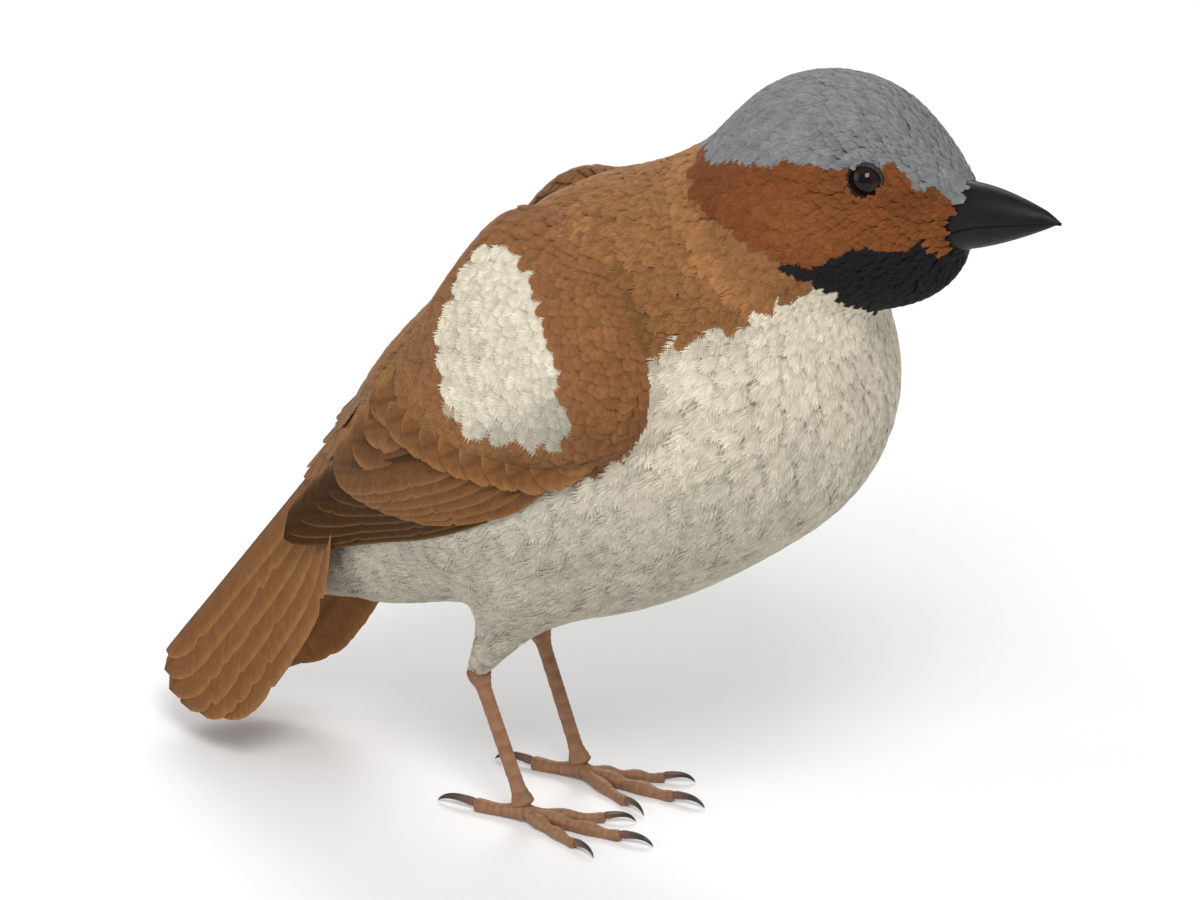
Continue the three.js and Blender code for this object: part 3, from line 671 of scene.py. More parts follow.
make(
    "skin",
    pts,
    quads,
    MAT_SKIN,
    col=skin_col,
    uv=skin_uv,
    replaces=("head", "neck", "trunk", "thigh_left", "thigh_right", "wing_left_coverts", "wing_right_coverts"),
)

# ------------------------------------------------------------------ coat: barbed feathers
def vane_outline(x):
    """Half width of a body feather, 0 to 1, along its length."""
    return np.clip(np.sin(np.pi * np.clip(x, 0, 1) ** 0.82), 0, 1) ** 0.62


def barbed(rng, n, ratio, loose, stations=(0.10, 0.38, 0.64, 0.84, 0.95), soft=False):
    """A feather: a thin closed blade, fringed with closed barbs over its outer part. Unit length.

    Returns vertices (x, y, h), faces, each vertex's tone and its normal."""
    V, F, tone, N = [], [], [], []
    V.append((0.02, 0, -0.012))
    N.append((-0.3, 0, 1))
    for x in stations:
        w = ratio * vane_outline(x) * (0.70 if soft else 0.84 if n > 7 else 0.92)
        V.extend([(x, w, -0.012), (x, 0, 0.0), (x, -w, -0.012), (x, 0, -0.022)])
        N.extend([(0.1, 0.28 if soft else 0.5, 1), (0, 0, 1), (0.1, -0.28 if soft else -0.5, 1), (0, 0, -1)])
    V.append((0.93 if soft else 1.0, 0, -0.012))
    N.append((0.4, 0, 1))
    tone.extend([0.93] * len(V))
    last = len(V) - 1
    for q in range(4):
        a, b = 1 + q, 1 + (q + 1) % 4
        F.append((0, b, a))
        for k in range(len(stations) - 1):
            A, B = a + 4 * k, b + 4 * k
            F.extend([(A, B, B + 4), (A, B + 4, A + 4)])
        F.append((a + 4 * (len(stations) - 1), b + 4 * (len(stations) - 1), last))
    span = 0.58
    spacing = span / n

    def barb(root, mid, end, width, t):
        base = len(V)
        d = (end - root) / (np.linalg.norm(end - root) + 1e-9)
        p = np.array([-d[1], d[0]])
        lift = rng.uniform(0.0, 0.22) * width
        V.append((*root, 0.001))
        V.append((*(mid + p * width), lift))
        V.append((*(mid - p * width), lift - 0.1 * width))
        V.append((*mid, width * 0.40 + lift))
        V.append((*end, 0.002))
        round_ = (0.22 if soft else 0.42) * (root[1] + end[1]) / ratio * 0.5
        N.extend([(0, round_, 1), (p[0] * 0.45, p[1] * 0.45 + round_, 1), (-p[0] * 0.45, -p[1] * 0.45 + round_, 1), (0, round_, 1), (0.12 if soft else 0.25, round_ * 1.6, 1)])
        tone.extend([t] * 4 + [t * 1.04])
        r_, a, b, c, e = range(base, base + 5)
        F.extend([(r_, c, a), (r_, b, c), (r_, a, b), (e, a, c), (e, c, b), (e, b, a)])

    for k in range(n):
        x0 = 0.29 + span * (k + 0.5) / n
        for s in (1, -1):
            j = rng.normal(0, 1, 5)
            xe = min(x0 + 0.05 * j[4] * loose + (0.43 - 0.17 * x0 if soft else 0.27 - 0.10 * x0), 1.03 + 0.015 * j[2])
            ye = s * ratio * max(vane_outline(min(xe, 0.975)), 0.10) * (1 + loose * j[1])
            root = np.array([x0 - 0.01, s * 0.003])
            end = np.array([xe + 0.25 * loose * j[0] * ratio, ye])
            mid = root + (end - root) * np.array([0.42, 0.55])
            barb(root, mid, end, spacing * 0.50, 1 + 0.085 * j[3])
    for yy in ((-0.62, -0.37, -0.12, 0.12, 0.37, 0.62) if n > 7 else (-0.42, 0.0, 0.42)):
        j = rng.normal(0, 1, 3)
        root = np.array([0.78, yy * ratio * 0.3])
        end = np.array([1.035 - 0.14 * yy * yy + 0.02 * j[0], yy * ratio * 0.95 + 0.2 * loose * j[1] * ratio])
        barb(root, (root + end) / 2, end, spacing * 0.42, 1 + 0.07 * j[2])
    return np.array(V, float), np.array(F, np.int32), np.array(tone), np.array(N, float)


GX, GY = 6, 5
gx = np.linspace(0, 1, GX)
gy = np.linspace(-1, 1, GY)


def weights(V, ratio):
    """Bilinear weights of template vertices over the feather's own grid."""
    fx = np.clip(V[:, 0], 0, 0.9999) * (GX - 1)
    fy = (np.clip(V[:, 1] / ratio, -1, 0.9999) + 1) / 2 * (GY - 1)
    i, j = np.minimum(fx.astype(int), GX - 2), np.minimum(fy.astype(int), GY - 2)
    a, b = fx - i, fy - j
    W = np.zeros((len(V), GX * GY))
    r = np.arange(len(V))
    W[r, i * GY + j] = (1 - a) * (1 - b)
    W[r, (i + 1) * GY + j] = a * (1 - b)
    W[r, i * GY + j + 1] = (1 - a) * b
    W[r, (i + 1) * GY + j + 1] = a * b
    return W


def plumes(roots, length, ratio, depth, rng, lift=0.12, camber=0.35, turn=7.0, stand=0.0, top=0.0, field=outline, heading=None, profile=1.5):
    """Grids that follow the outline from each root: deep at the root, at the surface by the tip."""
    N = len(roots)
    P, n = settle(field, roots, -depth)
    d = lie(P, n)
    if heading is not None:
        d = np.broadcast_to(heading, n.shape)
        d = d - n * (n * d).sum(1, keepdims=True)
        d /= np.linalg.norm(d, axis=1, keepdims=True) + 1e-9
    a = np.radians(rng.normal(0, turn, N))
    side = np.cross(n, d)
    d = d * np.cos(a)[:, None] + side * np.sin(a)[:, None]
    rise = top + rng.normal(0, 1, N) * lift * 0.5 + lift * 0.5 + stand
    grid = np.empty((N, GX, GY, 3))
    norm = np.empty((N, GX, 3))
    half = length * ratio
    for i, t in enumerate(gx):
        level = -depth * (1 - t) ** profile + rise * t**1.6
        if i:
            P = P + d * (length / (GX - 1))[:, None]
        P, n = settle(field, P, level, 2)
        d = d - n * (d * n).sum(1, keepdims=True)
        d /= np.linalg.norm(d, axis=1, keepdims=True) + 1e-9
        b = np.cross(n, d)
        norm[:, i] = n
        for j, s in enumerate(gy):
            if s == 0:
                grid[:, i, j] = P
                continue
            Q = P + b * (s * half)[:, None]
            lv = level - camber * half * 0.22 * s * s
            for _ in range(2):
                f0, qn, g = gradient(field, Q)
                Q = Q + qn * (np.clip((lv - f0) / np.maximum(g, 0.5), -1.5, 1.5))[:, None]
            grid[:, i, j] = Q
    return grid, norm


def coat(name, roots, length, ratio, depth, n_barbs, rng, material, kinds=6, loose=0.08, limit=190000, base_tone=0.86, shaft=0.0, on=0.0, soft=False, **kw):
    """Feathers at the roots, as joined meshes of under `limit` triangles each."""
    if len(roots) == 0:
        return
    stations = (0.10, 0.38, 0.64, 0.84) if soft else (0.10, 0.38, 0.64, 0.84, 0.95) if n_barbs > 7 else (0.14, 0.56, 0.86)
    shapes = [barbed(rng, n_barbs, ratio, loose, stations, soft) for _ in range(kinds)]
    each = len(shapes[0][1])
    groups = int(np.ceil(len(roots) * each / limit))
    order = np.argsort(-roots[:, 0], kind="stable")
    for g, sel in enumerate(np.array_split(order, groups)):
        _coat(f"{name}_{g + 1}" if groups > 1 else name, roots[sel], length[sel], ratio, depth[sel], shapes, rng, material, base_tone, shaft, on, **kw)


def _coat(name, roots, length, ratio, depth, shapes, rng, material, base_tone, shaft, on, **kw):
    grid, norm = plumes(roots, length, ratio, depth, rng, **kw)
    grid = grid.reshape(len(roots), GX * GY, 3)
    seen = grid[:, 4 * GY + 2]
    base = markings_and_shading(seen, 0.03, on)[0]
    base = base * (1 + rng.normal(0, 0.045, (len(roots), 1)))
    uv0 = unwrap(settle(trunk_outline, roots, -depth, 1)[0])
    kind = rng.integers(0, len(shapes), len(roots))
    VV, FF, CC, UU, NN, at = [], [], [], [], [], 0
    mid = grid.reshape(len(roots), GX, GY, 3)[:, :, 2]
    run = np.gradient(mid, axis=1)
    run /= np.linalg.norm(run, axis=-1, keepdims=True) + 1e-9
    for k, (T, F, tone, TN) in enumerate(shapes):
        W = weights(T, ratio)
        idx = np.nonzero(kind == k)[0]
        if len(idx) == 0:
            continue
        V = np.einsum("vg,ngk->nvk", W, grid[idx])
        xi = np.clip(T[:, 0] * (GX - 1), 0, GX - 1.001)
        i0 = xi.astype(int)
        fr = (xi - i0)[None, :, None]
        nn = norm[idx][:, i0] * (1 - fr) + norm[idx][:, np.minimum(i0 + 1, GX - 1)] * fr
        V += nn * (T[:, 2][None, :] * length[idx][:, None])[..., None]
        dd = run[idx][:, i0] * (1 - fr) + run[idx][:, np.minimum(i0 + 1, GX - 1)] * fr
        bb = np.cross(nn, dd)
        N = dd * TN[None, :, 0:1] + bb * TN[None, :, 1:2] + nn * TN[None, :, 2:3]
        NN.append((N / (np.linalg.norm(N, axis=-1, keepdims=True) + 1e-9)).reshape(-1, 3))
        shade = tone * (base_tone + (1.03 - base_tone) * np.clip(T[:, 0], 0, 1))
        if shaft:
            shade = shade * (1 - shaft * np.exp(-((T[:, 1] / (0.30 * ratio)) ** 2)) * ramp(0.2, 0.5, T[:, 0]) * (1 - 0.6 * ramp(0.8, 1.0, T[:, 0])))
        C = np.clip(base[idx][:, None, :] * shade[None, :, None], 0, 1)
        off = np.stack([T[:, 1] / ratio * 0.0013, (T[:, 0] - 0.5) * 0.0026], 1)
        U = uv0[idx][:, None, :] + off[None]
        fcs = F[None] + (np.arange(len(idx)) * len(T))[:, None, None]
        VV.append(V.reshape(-1, 3))
        CC.append(C.reshape(-1, 3))
        UU.append(U.reshape(-1, 2))
        FF.append(fcs.reshape(-1, 3) + at)
        at += len(idx) * len(T)
    V, C, U, F, N = map(np.concatenate, (VV, CC, UU, FF, NN))
    fn = np.cross(V[F[:, 1]] - V[F[:, 0]], V[F[:, 2]] - V[F[:, 0]])
    fn = fn / (np.linalg.norm(fn, axis=1, keepdims=True) + 1e-12)
    N = N[F]
    against = (N * fn[:, None]).sum(-1, keepdims=True) < 0.12
    N = np.where(against, fn[:, None], N)
    return make(name, V, F, material, col=C, uv=U, smooth=True, normals=N)


def covert_field(P):
    """Body outline with the coverts' taper under the tail."""
    return melt(trunk_outline(P), cone(P, (-14, 0, 33.5), (-33, 0, 20.5), 7.5, 1.4), 4.0)


# candidates all over the skin
tri = np.concatenate([quads[:, [0, 1, 2]], quads[:, [0, 2, 3]]])
va, vb, vc = pts[tri[:, 0]], pts[tri[:, 1]], pts[tri[:, 2]]
area = np.linalg.norm(np.cross(vb - va, vc - va), axis=1) / 2


def candidates(count, keep):
    mid = (va + vb + vc) / 3
    w = area * keep(mid)
    pick = rng.choice(len(tri), count, p=w / w.sum())
    r1, r2 = rng.random(count), rng.random(count)
    s = np.sqrt(r1)
    return va[pick] * (1 - s)[:, None] + vb[pick] * (s * (1 - r2))[:, None] + vc[pick] * (s * r2)[:, None]


def thin(P, r):
    """Greedy spacing: no two roots nearer than r."""
    tree = kdtree.KDTree(len(P))
    for i, p in enumerate(P):
        tree.insert(p, i)
    tree.balance()
    alive = np.ones(len(P), bool)
    kept = []
    for i in range(len(P)):
        if alive[i]:
            kept.append(i)
            for _, j, _d in tree.find_range(P[i], r[i]):
                alive[j] = False
    return np.array(kept, int)


def neck_of(P):
    return (P[:, 0] - 41.0) * 0.669 + (P[:, 2] - 85.5) * 0.743


def bill_gap(P):
    """Distance outside the bill's own cone, near its base."""
    t = np.clip((P[:, 0] - BILL_BASE[0]) / (BILL_TIP[0] - BILL_BASE[0]), 0, 1)
    fat = (1 - t) ** 0.72 * (1 + 0.16 * np.sin(np.pi * t))
    zc = BILL_BASE[1] + 1.6 * t
    return (np.sqrt((P[:, 1] / (BILL_WIDTH / 2)) ** 2 + ((P[:, 2] - zc) / (BILL_DEPTH / 2)) ** 2) - fat) * 3.9


# --- head
def spare_eyes(P, length):
    """Shortens feathers that would reach over an eye."""
    Q, n = settle(outline, P, -0.4, 1)
    d = lie(Q, n)
    fit = length.copy()
    for side in (1, -1):
        for s in np.linspace(0.25, 1.15, 7):
            _, rho = from_eye(Q + d * (length * s)[:, None], side)
            fit = np.where(rho < 2.3, np.minimum(fit, length * (s - 0.2)), fit)
        _, rho = from_eye(Q, side)
        fit = np.where(rho < 2.45, 0.0, fit)
    return fit


hp = candidates(150000, lambda P: (neck_of(P) > -6).astype(float))
hp = hp[(neck_of(hp) > -5) & ~((hp[:, 0] > 58.0) & (bill_gap(hp) < -0.25))]
near = np.minimum(from_eye(hp, 1)[1], from_eye(hp, -1)[1])
face = ramp(42, 57, hp[:, 0])
r = 0.86 - 0.22 * face - 0.08 * (1 - ramp(2.4, 5.5, near))
keep = thin(hp, r)
hp, near = hp[keep], near[keep]
face = ramp(42, 60, hp[:, 0])
length = (4.4 - 2.1 * face) * (0.5 + 0.5 * ramp(2.2, 7.0, near)) * (1 + rng.normal(0, 0.06, len(hp)))
length = spare_eyes(hp, length)
ok = length > 0.85
hp, length = hp[ok], length[ok]
bib_of = markings_and_shading(hp, 0.1, 0.0)[6]
dep = coat_depth(hp)
dark = bib_of > 0.5
coat("coat_head", hp[~dark], length[~dark] * 1.04, 0.33, dep[~dark] * 0.85, 7, rng, MAT_COAT, lift=0.03, camber=0.08, turn=6, profile=2.5, kinds=12, loose=0.11, base_tone=0.93, soft=True)
coat("coat_bib", hp[dark], length[dark] * (1.1 - 0.4 * ramp(-1.5, -4.0, neck_of(hp[dark]))), 0.32, dep[dark] * 0.9, 7, rng, MAT_BIB, lift=0.05, camber=0.15, turn=6, loose=0.12, profile=2.2, kinds=10, soft=True)

# small feathers round each eye, over the lids' outer rim
spot, way = [], []
for side in (1, -1):
    C, out = eye_axis(side)
    e1 = np.cross(out, [0, 0, 1.0])
    e1 /= np.linalg.norm(e1)
    e2 = np.cross(e1, out)
    for row, rho in enumerate((2.62, 2.95, 3.3)):
        count = 30 + 4 * row
        for k in range(count):
            f = 2 * math.pi * (k + 0.5 * row + rng.uniform(-0.25, 0.25)) / count
            rad = e1 * math.cos(f) + e2 * math.sin(f)
            flow = np.array([-1.0, 0, -0.12])
            flow = flow - out * (flow @ out)
            flow = flow - rad * (flow @ rad) * (0.85 if flow @ rad < 0 else 0.0)
            spot.append(C + out * 1.5 + rad * rho)
            way.append(flow + rad * (0.75 - 0.1 * row))
spot, way = np.array(spot), np.array(way)
coat("coat_lids", spot, 1.15 * (1 + rng.normal(0, 0.08, len(spot))), 0.38, np.full(len(spot), 0.5), 6, rng, MAT_COAT, lift=0.03, top=-0.3, turn=6, heading=way, base_tone=0.95)


def bill_field(P):
    """Head and bill together, for the short feathers that run out over the bill."""
    return np.minimum(outline(P), bill_gap(P))


ring = []
for row, x0 in enumerate((57.6, 58.4, 59.2)):
    for k in range(34):
        f = 2 * math.pi * (k + 0.5 * row + rng.uniform(-0.3, 0.3)) / 34
        if math.sin(f) < -0.92:
            continue
        ring.append((x0 + rng.uniform(-0.3, 0.3), math.cos(f) * BILL_WIDTH * 0.53, BILL_BASE[1] + math.sin(f) * BILL_DEPTH * 0.53))
ring = np.array(ring)
high = ramp(-2.0, 4.0, ring[:, 2] - BILL_BASE[1])
ring_len = (1.5 + 1.3 * high) * (1 + rng.normal(0, 0.10, len(ring)))
coat("coat_bill_base", ring, ring_len, 0.24, np.full(len(ring), 0.12), 6, rng, MAT_COAT, lift=0.10, turn=9, loose=0.15, field=bill_field, heading=(1.0, 0.0, -0.05))

# --- body
bp = candidates(170000, lambda P: ((neck_of(P) < -3)).astype(float))
bp = bp[neck_of(bp) < -4.2]
S_, H_ = wing_sh(bp)
lobe = read_map(LOBE, S_, H_)
outer = np.abs(bp[:, 1]) > 7.5
# nothing under the middle of the flight feathers
bp = bp[~(outer & (lobe < -0.5) & (read_map(PANEL, S_, H_) > 2.0))]


def layout_of(P):
    S_, H_ = wing_sh(P)
    wing = (read_map(LOBE, S_, H_) > 0.0) & (np.abs(P[:, 1]) > 6.5)
    shank = (1 - ramp(21, 29, P[:, 2])) * ramp(-9, -5, P[:, 0])
    return S_, H_, wing, shank, ramp(-24, -5, neck_of(P)), ramp(-16, -26, P[:, 0])


S_, H_, wing, shank, neckness, covert = layout_of(bp)
r = 1.38 - 0.42 * neckness - 0.55 * shank
r = np.where(wing, 0.88 + 0.38 * ramp(1, 14, S_), r)
bp = bp[thin(bp, r)]
S_, H_, wing, shank, neckness, covert = layout_of(bp)
length = (8.4 - 3.4 * neckness - 5.4 * shank) * (1 + 0.55 * covert)
length = np.where(wing, 3.5 + 2.3 * ramp(1, 14, S_), length)
length = np.maximum(length, 2.0) * (1 + rng.normal(0, 0.07, len(bp)))
dep = coat_depth(bp)
mantle = markings_and_shading(bp, 0.1, 0.0)[5]
is_back = ~wing & (mantle > 0.5)
is_shank = ~wing & ~is_back & (shank > 0.45)
is_under = ~wing & ~is_back & ~is_shank
coat("coat_back", bp[is_back], length[is_back], 0.33, dep[is_back], 13, rng, MAT_COAT, lift=0.05, camber=0.15, turn=5, field=trunk_outline, shaft=0.22, profile=2.1, kinds=10, loose=0.05)
vent = is_under & (bp[:, 0] < -15.5) & (bp[:, 2] < 44)
is_under &= ~vent
out_ = np.array([-0.84, 0, -0.54])
coat("coat_undertail", bp[vent], np.minimum(length[vent], 9.0) + 2.5, 0.27, dep[vent], 16, rng, MAT_COAT, lift=0.03, camber=0.15, turn=5, loose=0.14, base_tone=0.96, field=covert_field, heading=out_, profile=1.8, soft=True)
coat("coat_under", bp[is_under], length[is_under], 0.33, dep[is_under], 15, rng, MAT_COAT, lift=0.02, camber=0.0, turn=7, loose=0.14, base_tone=0.98, field=trunk_outline, profile=2.7, soft=True, kinds=10)
coat("coat_shank", bp[is_shank], length[is_shank], 0.28, dep[is_shank], 6, rng, MAT_COAT, lift=0.08, turn=7, loose=0.12, field=trunk_outline)
for side, word in ((1, "left"), (-1, "right")):
    sel = wing & (np.sign(bp[:, 1]) == side)
    coat(f"coat_wing_{word}", bp[sel], length[sel], 0.42, np.maximum(dep[sel], 0.6), 13, rng, MAT_COAT, lift=0.06, turn=3, loose=0.04, camber=0.35, shaft=0.08, on=1.0)

# ------------------------------------------------------------------ wing surface for the big feathers
SS = np.linspace(-2, 72, 75)
HH = np.linspace(-16, 30, 47)
gs, gh = np.meshgrid(SS, HH, indexing="ij")
wx = WRIST[0] + WDIR[0] * gs + WUP[0] * gh
wz = WRIST[1] + WDIR[1] * gs + WUP[1] * gh


def half_width(x, z):
    """Half width of the body at points of its side view."""
    lo_, hi_ = np.zeros_like(x), np.full_like(x, 30.0)
    inside = body_field(np.stack([x, np.zeros_like(x), z], -1)) < 0
    for _ in range(20):
        mid = (lo_ + hi_) / 2
        neg = body_field(np.stack([x, mid, z], -1)) < 0
        lo_ = np.where(neg, mid, lo_)
        hi_ = np.where(neg, hi_, mid)
    return np.where(inside, (lo_ + hi_) / 2, 0.0)


bw = half_width(wx, wz)
free = 11.5 * (0.86 + 0.14 * ramp(0, 0.6, gs / WING_LEN)) * (1 - 0.18 * ramp(0.6, 1.0, gs / WING_LEN))
free = np.maximum(free - 1.0 * np.maximum(gh - 1.0, 0) * ramp(22, 40, gs), 2.5)
gap_ = np.maximum(8 - np.abs(bw - free), 0) / 8
wy = np.maximum(bw, free) + gap_ * gap_ * 1.0
for _ in range(10):
    wy[1:-1, 1:-1] = (wy[:-2, 1:-1] + wy[2:, 1:-1] + wy[1:-1, :-2] + wy[1:-1, 2:] + 2 * wy[1:-1, 1:-1]) / 6
wy = wy - 0.35 * ramp(2, -3, gh) * (1 - ramp(18, 30, gs))
WSURF = np.stack([wx, wy, wz], -1)
_ds = np.gradient(WSURF, axis=0)
_dh = np.gradient(WSURF, axis=1)
WNORM = np.cross(_dh, _ds)
WNORM /= np.linalg.norm(WNORM, axis=-1, keepdims=True)
WNORM *= np.sign(WNORM[..., 1:2])


def on_surface(surf, nrm, A, B, a0, a1, b0, b1):
    """Bilinear lookup of a surface and its normals."""
    fa = np.clip((A - a0) / (a1 - a0), 0, 1) * (surf.shape[0] - 1)
    fb = np.clip((B - b0) / (b1 - b0), 0, 1) * (surf.shape[1] - 1)
    i, j = np.minimum(fa.astype(int), surf.shape[0] - 2), np.minimum(fb.astype(int), surf.shape[1] - 2)
    u, v = (fa - i)[..., None], (fb - j)[..., None]

    def blend(q):
        return q[i, j] * (1 - u) * (1 - v) + q[i + 1, j] * u * (1 - v) + q[i, j + 1] * (1 - u) * v + q[i + 1, j + 1] * u * v

    n = blend(nrm)
    return blend(surf), n / np.linalg.norm(n, axis=-1, keepdims=True)


def wing_place(A, B, height, side):
    P, n = on_surface(WSURF, WNORM, A, B, SS[0], SS[-1], HH[0], HH[-1])
    P = P + n * height[..., None]
    P[..., 1] *= side
    return P


# tail surface: an arch that opens backwards
TA = np.linspace(-6, 60, 67)
TB = np.linspace(-22, 22, 45)
ta, tb = np.meshgrid(TA, TB, indexing="ij")
_p = math.radians(TAIL_PITCH)
TDIR, TUP = np.array([-math.cos(_p), 0, -math.sin(_p)]), np.array([-math.sin(_p), 0, math.cos(_p)])
slope = math.radians(TAIL_SLOPE) * ramp(-0.2, 0.5, ta / TAIL_LEN)
fall = np.exp(-np.abs(tb) / TAIL_RIDGE)
t_out = np.sign(tb) * (np.abs(tb) * np.cos(slope) + (1 - np.cos(slope)) * TAIL_RIDGE * (1 - fall))
t_drop = np.sin(slope) * (np.abs(tb) - TAIL_RIDGE * (1 - fall))
t_lean = np.sign(tb) * np.arctan2(np.sin(slope) * (1 - fall), np.cos(slope) + (1 - np.cos(slope)) * fall)
TSURF = np.array([TAIL_ROOT[0], 0, TAIL_ROOT[1]]) + TDIR * ta[..., None] + np.array([0, 1.0, 0]) * t_out[..., None] - TUP * t_drop[..., None]
TNORM = np.array([0, 1.0, 0]) * np.sin(t_lean)[..., None] + TUP * np.cos(t_lean)[..., None]


def tail_place(A, B, height, side):
    P, n = on_surface(TSURF, TNORM, A, B, TA[0], TA[-1], TB[0], TB[-1])
    return P + n * height[..., None]


# ------------------------------------------------------------------ big feathers: closed vanes
class Vanes:
    """Collects big feathers of one piece; each has its own patch of the piece's unwrap."""

    def __init__(self, name, place, side, slot, cols=6):
        self.name, self.place, self.side, self.slot = name, place, side, slot
        self.V, self.F, self.C, self.U, self.W, self.at, self.count, self.cols = [], [], [], [], [], 0, 0, cols

    def add(self, root, tip, width, base_col, edge_col, h0=0.0, h1=0.0, thick=0.24, inner=0.5, tipness=0.6, bend=0.0, camber=0.5, seed=0, edge=0.22, tip_col=None, dark=None, under=0.8, blunt=2.6, nU=56, nV=11, start=0.16):
        r = np.random.default_rng(1000 + seed)
        root, tip = np.array(root, float), np.array(tip, float)
        L = np.linalg.norm(tip - root)
        d = (tip - root) / L
        p = np.array([-d[1], d[0]])
        x = np.linspace(0, 1, nU) ** 0.85
        v = np.linspace(-1, 1, nV)
        X, Vv = np.meshgrid(x, v, indexing="ij")
        # outline: narrow at the root, full along the blade, rounded or pointed at the tip
        full = (start + (1 - start) * ramp(0.0, 0.35, x)) * np.clip(1 - np.clip((x - tipness) / (1 - tipness), 0, 1) ** blunt, 0, 1) ** 0.5
        full = np.maximum(full, 0.02)
        # nicks where the barbs have parted
        nick = np.zeros((nU, 2))
        for _ in range(4):
            k = r.integers(int(nU * 0.4), nU - 5)
            w_ = r.integers(0, 2)
            deep = r.uniform(0.05, 0.16)
            nick[k, w_] = deep
            nick[k + 1, w_] = deep * 0.35
        wl = width * inner * full * (1 - nick[:, 0] + r.normal(0, 0.006, nU))
        wr = width * (1 - inner) * full * (1 - nick[:, 1] + r.normal(0, 0.006, nU))
        half = np.where(Vv < 0, wl[:, None], wr[:, None]) * np.abs(Vv)
        Y = np.sign(Vv) * half
        # the blade's barbs sweep forward, so its cross lines do too
        A = root[0] + d[0] * X * L + p[0] * Y
        B = root[1] + d[1] * X * L + p[1] * Y
        sweep = 0.45 * np.abs(Y) * (1 - X**4)
        A = A + d[0] * sweep
        B = B + d[1] * sweep
        if bend:
            off = bend * np.sin(np.pi * X)
            A = A + p[0] * off
            B = B + p[1] * off
        h = h0 + (h1 - h0) * X - camber * (Y / width) ** 2 * 1.6
        # shaft
        shaft = 0.16 * np.exp(-((Y / 0.33) ** 2)) * (1 - X * 0.7)
        th = thick * (1 - 0.55 * np.clip(np.abs(Vv), 0, 1) ** 2) * (1 - 0.4 * X**3)
        top = self.place(A, B, h + shaft + th / 2, self.side)
        bot = self.place(A, B, h - th / 2, self.side)
        nv = nU * nV
        P = np.concatenate([top.reshape(-1, 3), bot.reshape(-1, 3)])
        I = np.arange(nv).reshape(nU, nV)
        q = np.stack([I[:-1, :-1], I[1:, :-1], I[1:, 1:], I[:-1, 1:]], -1).reshape(-1, 4)
        qb = q[:, ::-1] + nv
        rim = np.concatenate([I[0, :], I[1:, -1], I[-1, -2::-1], I[-2:0:-1, 0]])
        nxt = np.roll(rim, -1)
        qr = np.stack([rim, nxt, nxt + nv, rim + nv], -1)
        F = np.concatenate([q, qb, qr])
        # keep faces outward on both sides of the bird
        if self.side < 0:
            F = F[:, ::-1]
        yy = np.abs(Y) / np.maximum(np.where(Vv < 0, wl[:, None], wr[:, None]), 1e-6)
        e = ramp(1 - edge * 2, 1.0, yy)
        c = mix(np.broadcast_to(base_col, (*X.shape, 3)), np.asarray(edge_col), e)
        if dark is not None:
            c = mix(c, np.asarray(dark), 0.75 * np.exp(-((Y / (width * 0.16)) ** 2)) * ramp(0.1, 0.4, X) * (1 - ramp(0.75, 1.0, X)))
        if tip_col is not None:
            c = mix(c, np.asarray(tip_col), ramp(0.86, 0.98, X))
        c = c * (1 + 0.05 * r.normal(0, 1, (nU, 1, 1)) * 0.6)
        c = np.where((np.abs(Y) < 0.14)[..., None], c * 0.7, c)
        # the underside's colour is the top's times under: below 1 painted shade, above 1 painted light
        C = np.concatenate([c.reshape(-1, 3), c.reshape(-1, 3) * under])
        # its own patch
        k = self.count
        u0, v0 = (k % self.cols) / self.cols, (k // self.cols) / self.cols
        s_ = 0.94 / self.cols
        uv = np.stack([u0 + s_ * (0.5 + 0.47 * Vv), v0 + s_ * (0.02 + 0.94 * X)], -1).reshape(-1, 2)
        W = np.stack([X * L + 0 * Y, np.abs(Y)], -1).reshape(-1, 2)
        self.V.append(P)
        self.F.append(F + self.at)
        self.C.append(np.clip(C, 0, 1))
        self.U.append(np.concatenate([uv, uv]))
        self.W.append(np.concatenate([W, W]))
        self.at += len(P)
        self.count += 1

    def done(self, replaces=()):
        V, C, U, W = map(np.concatenate, (self.V, self.C, self.U, self.W))
        F = np.concatenate(self.F)
        ob = make(self.name, V, F, MAT_VANE, col=C, uv=U, uv2=W, smooth=True, replaces=replaces)
        ob.data.set_sharp_from_angle(angle=math.radians(48))
        return ob


COVERT_TIPS = [(14.5, -3.6), (18.0, -3.9), (21.3, -2.9), (24.2, -1.4), (26.9, 0.2), (29.5, 1.9), (32.0, 3.6), (34.4, 5.4), (36.6, 7.3), (38.4, 9.4)]

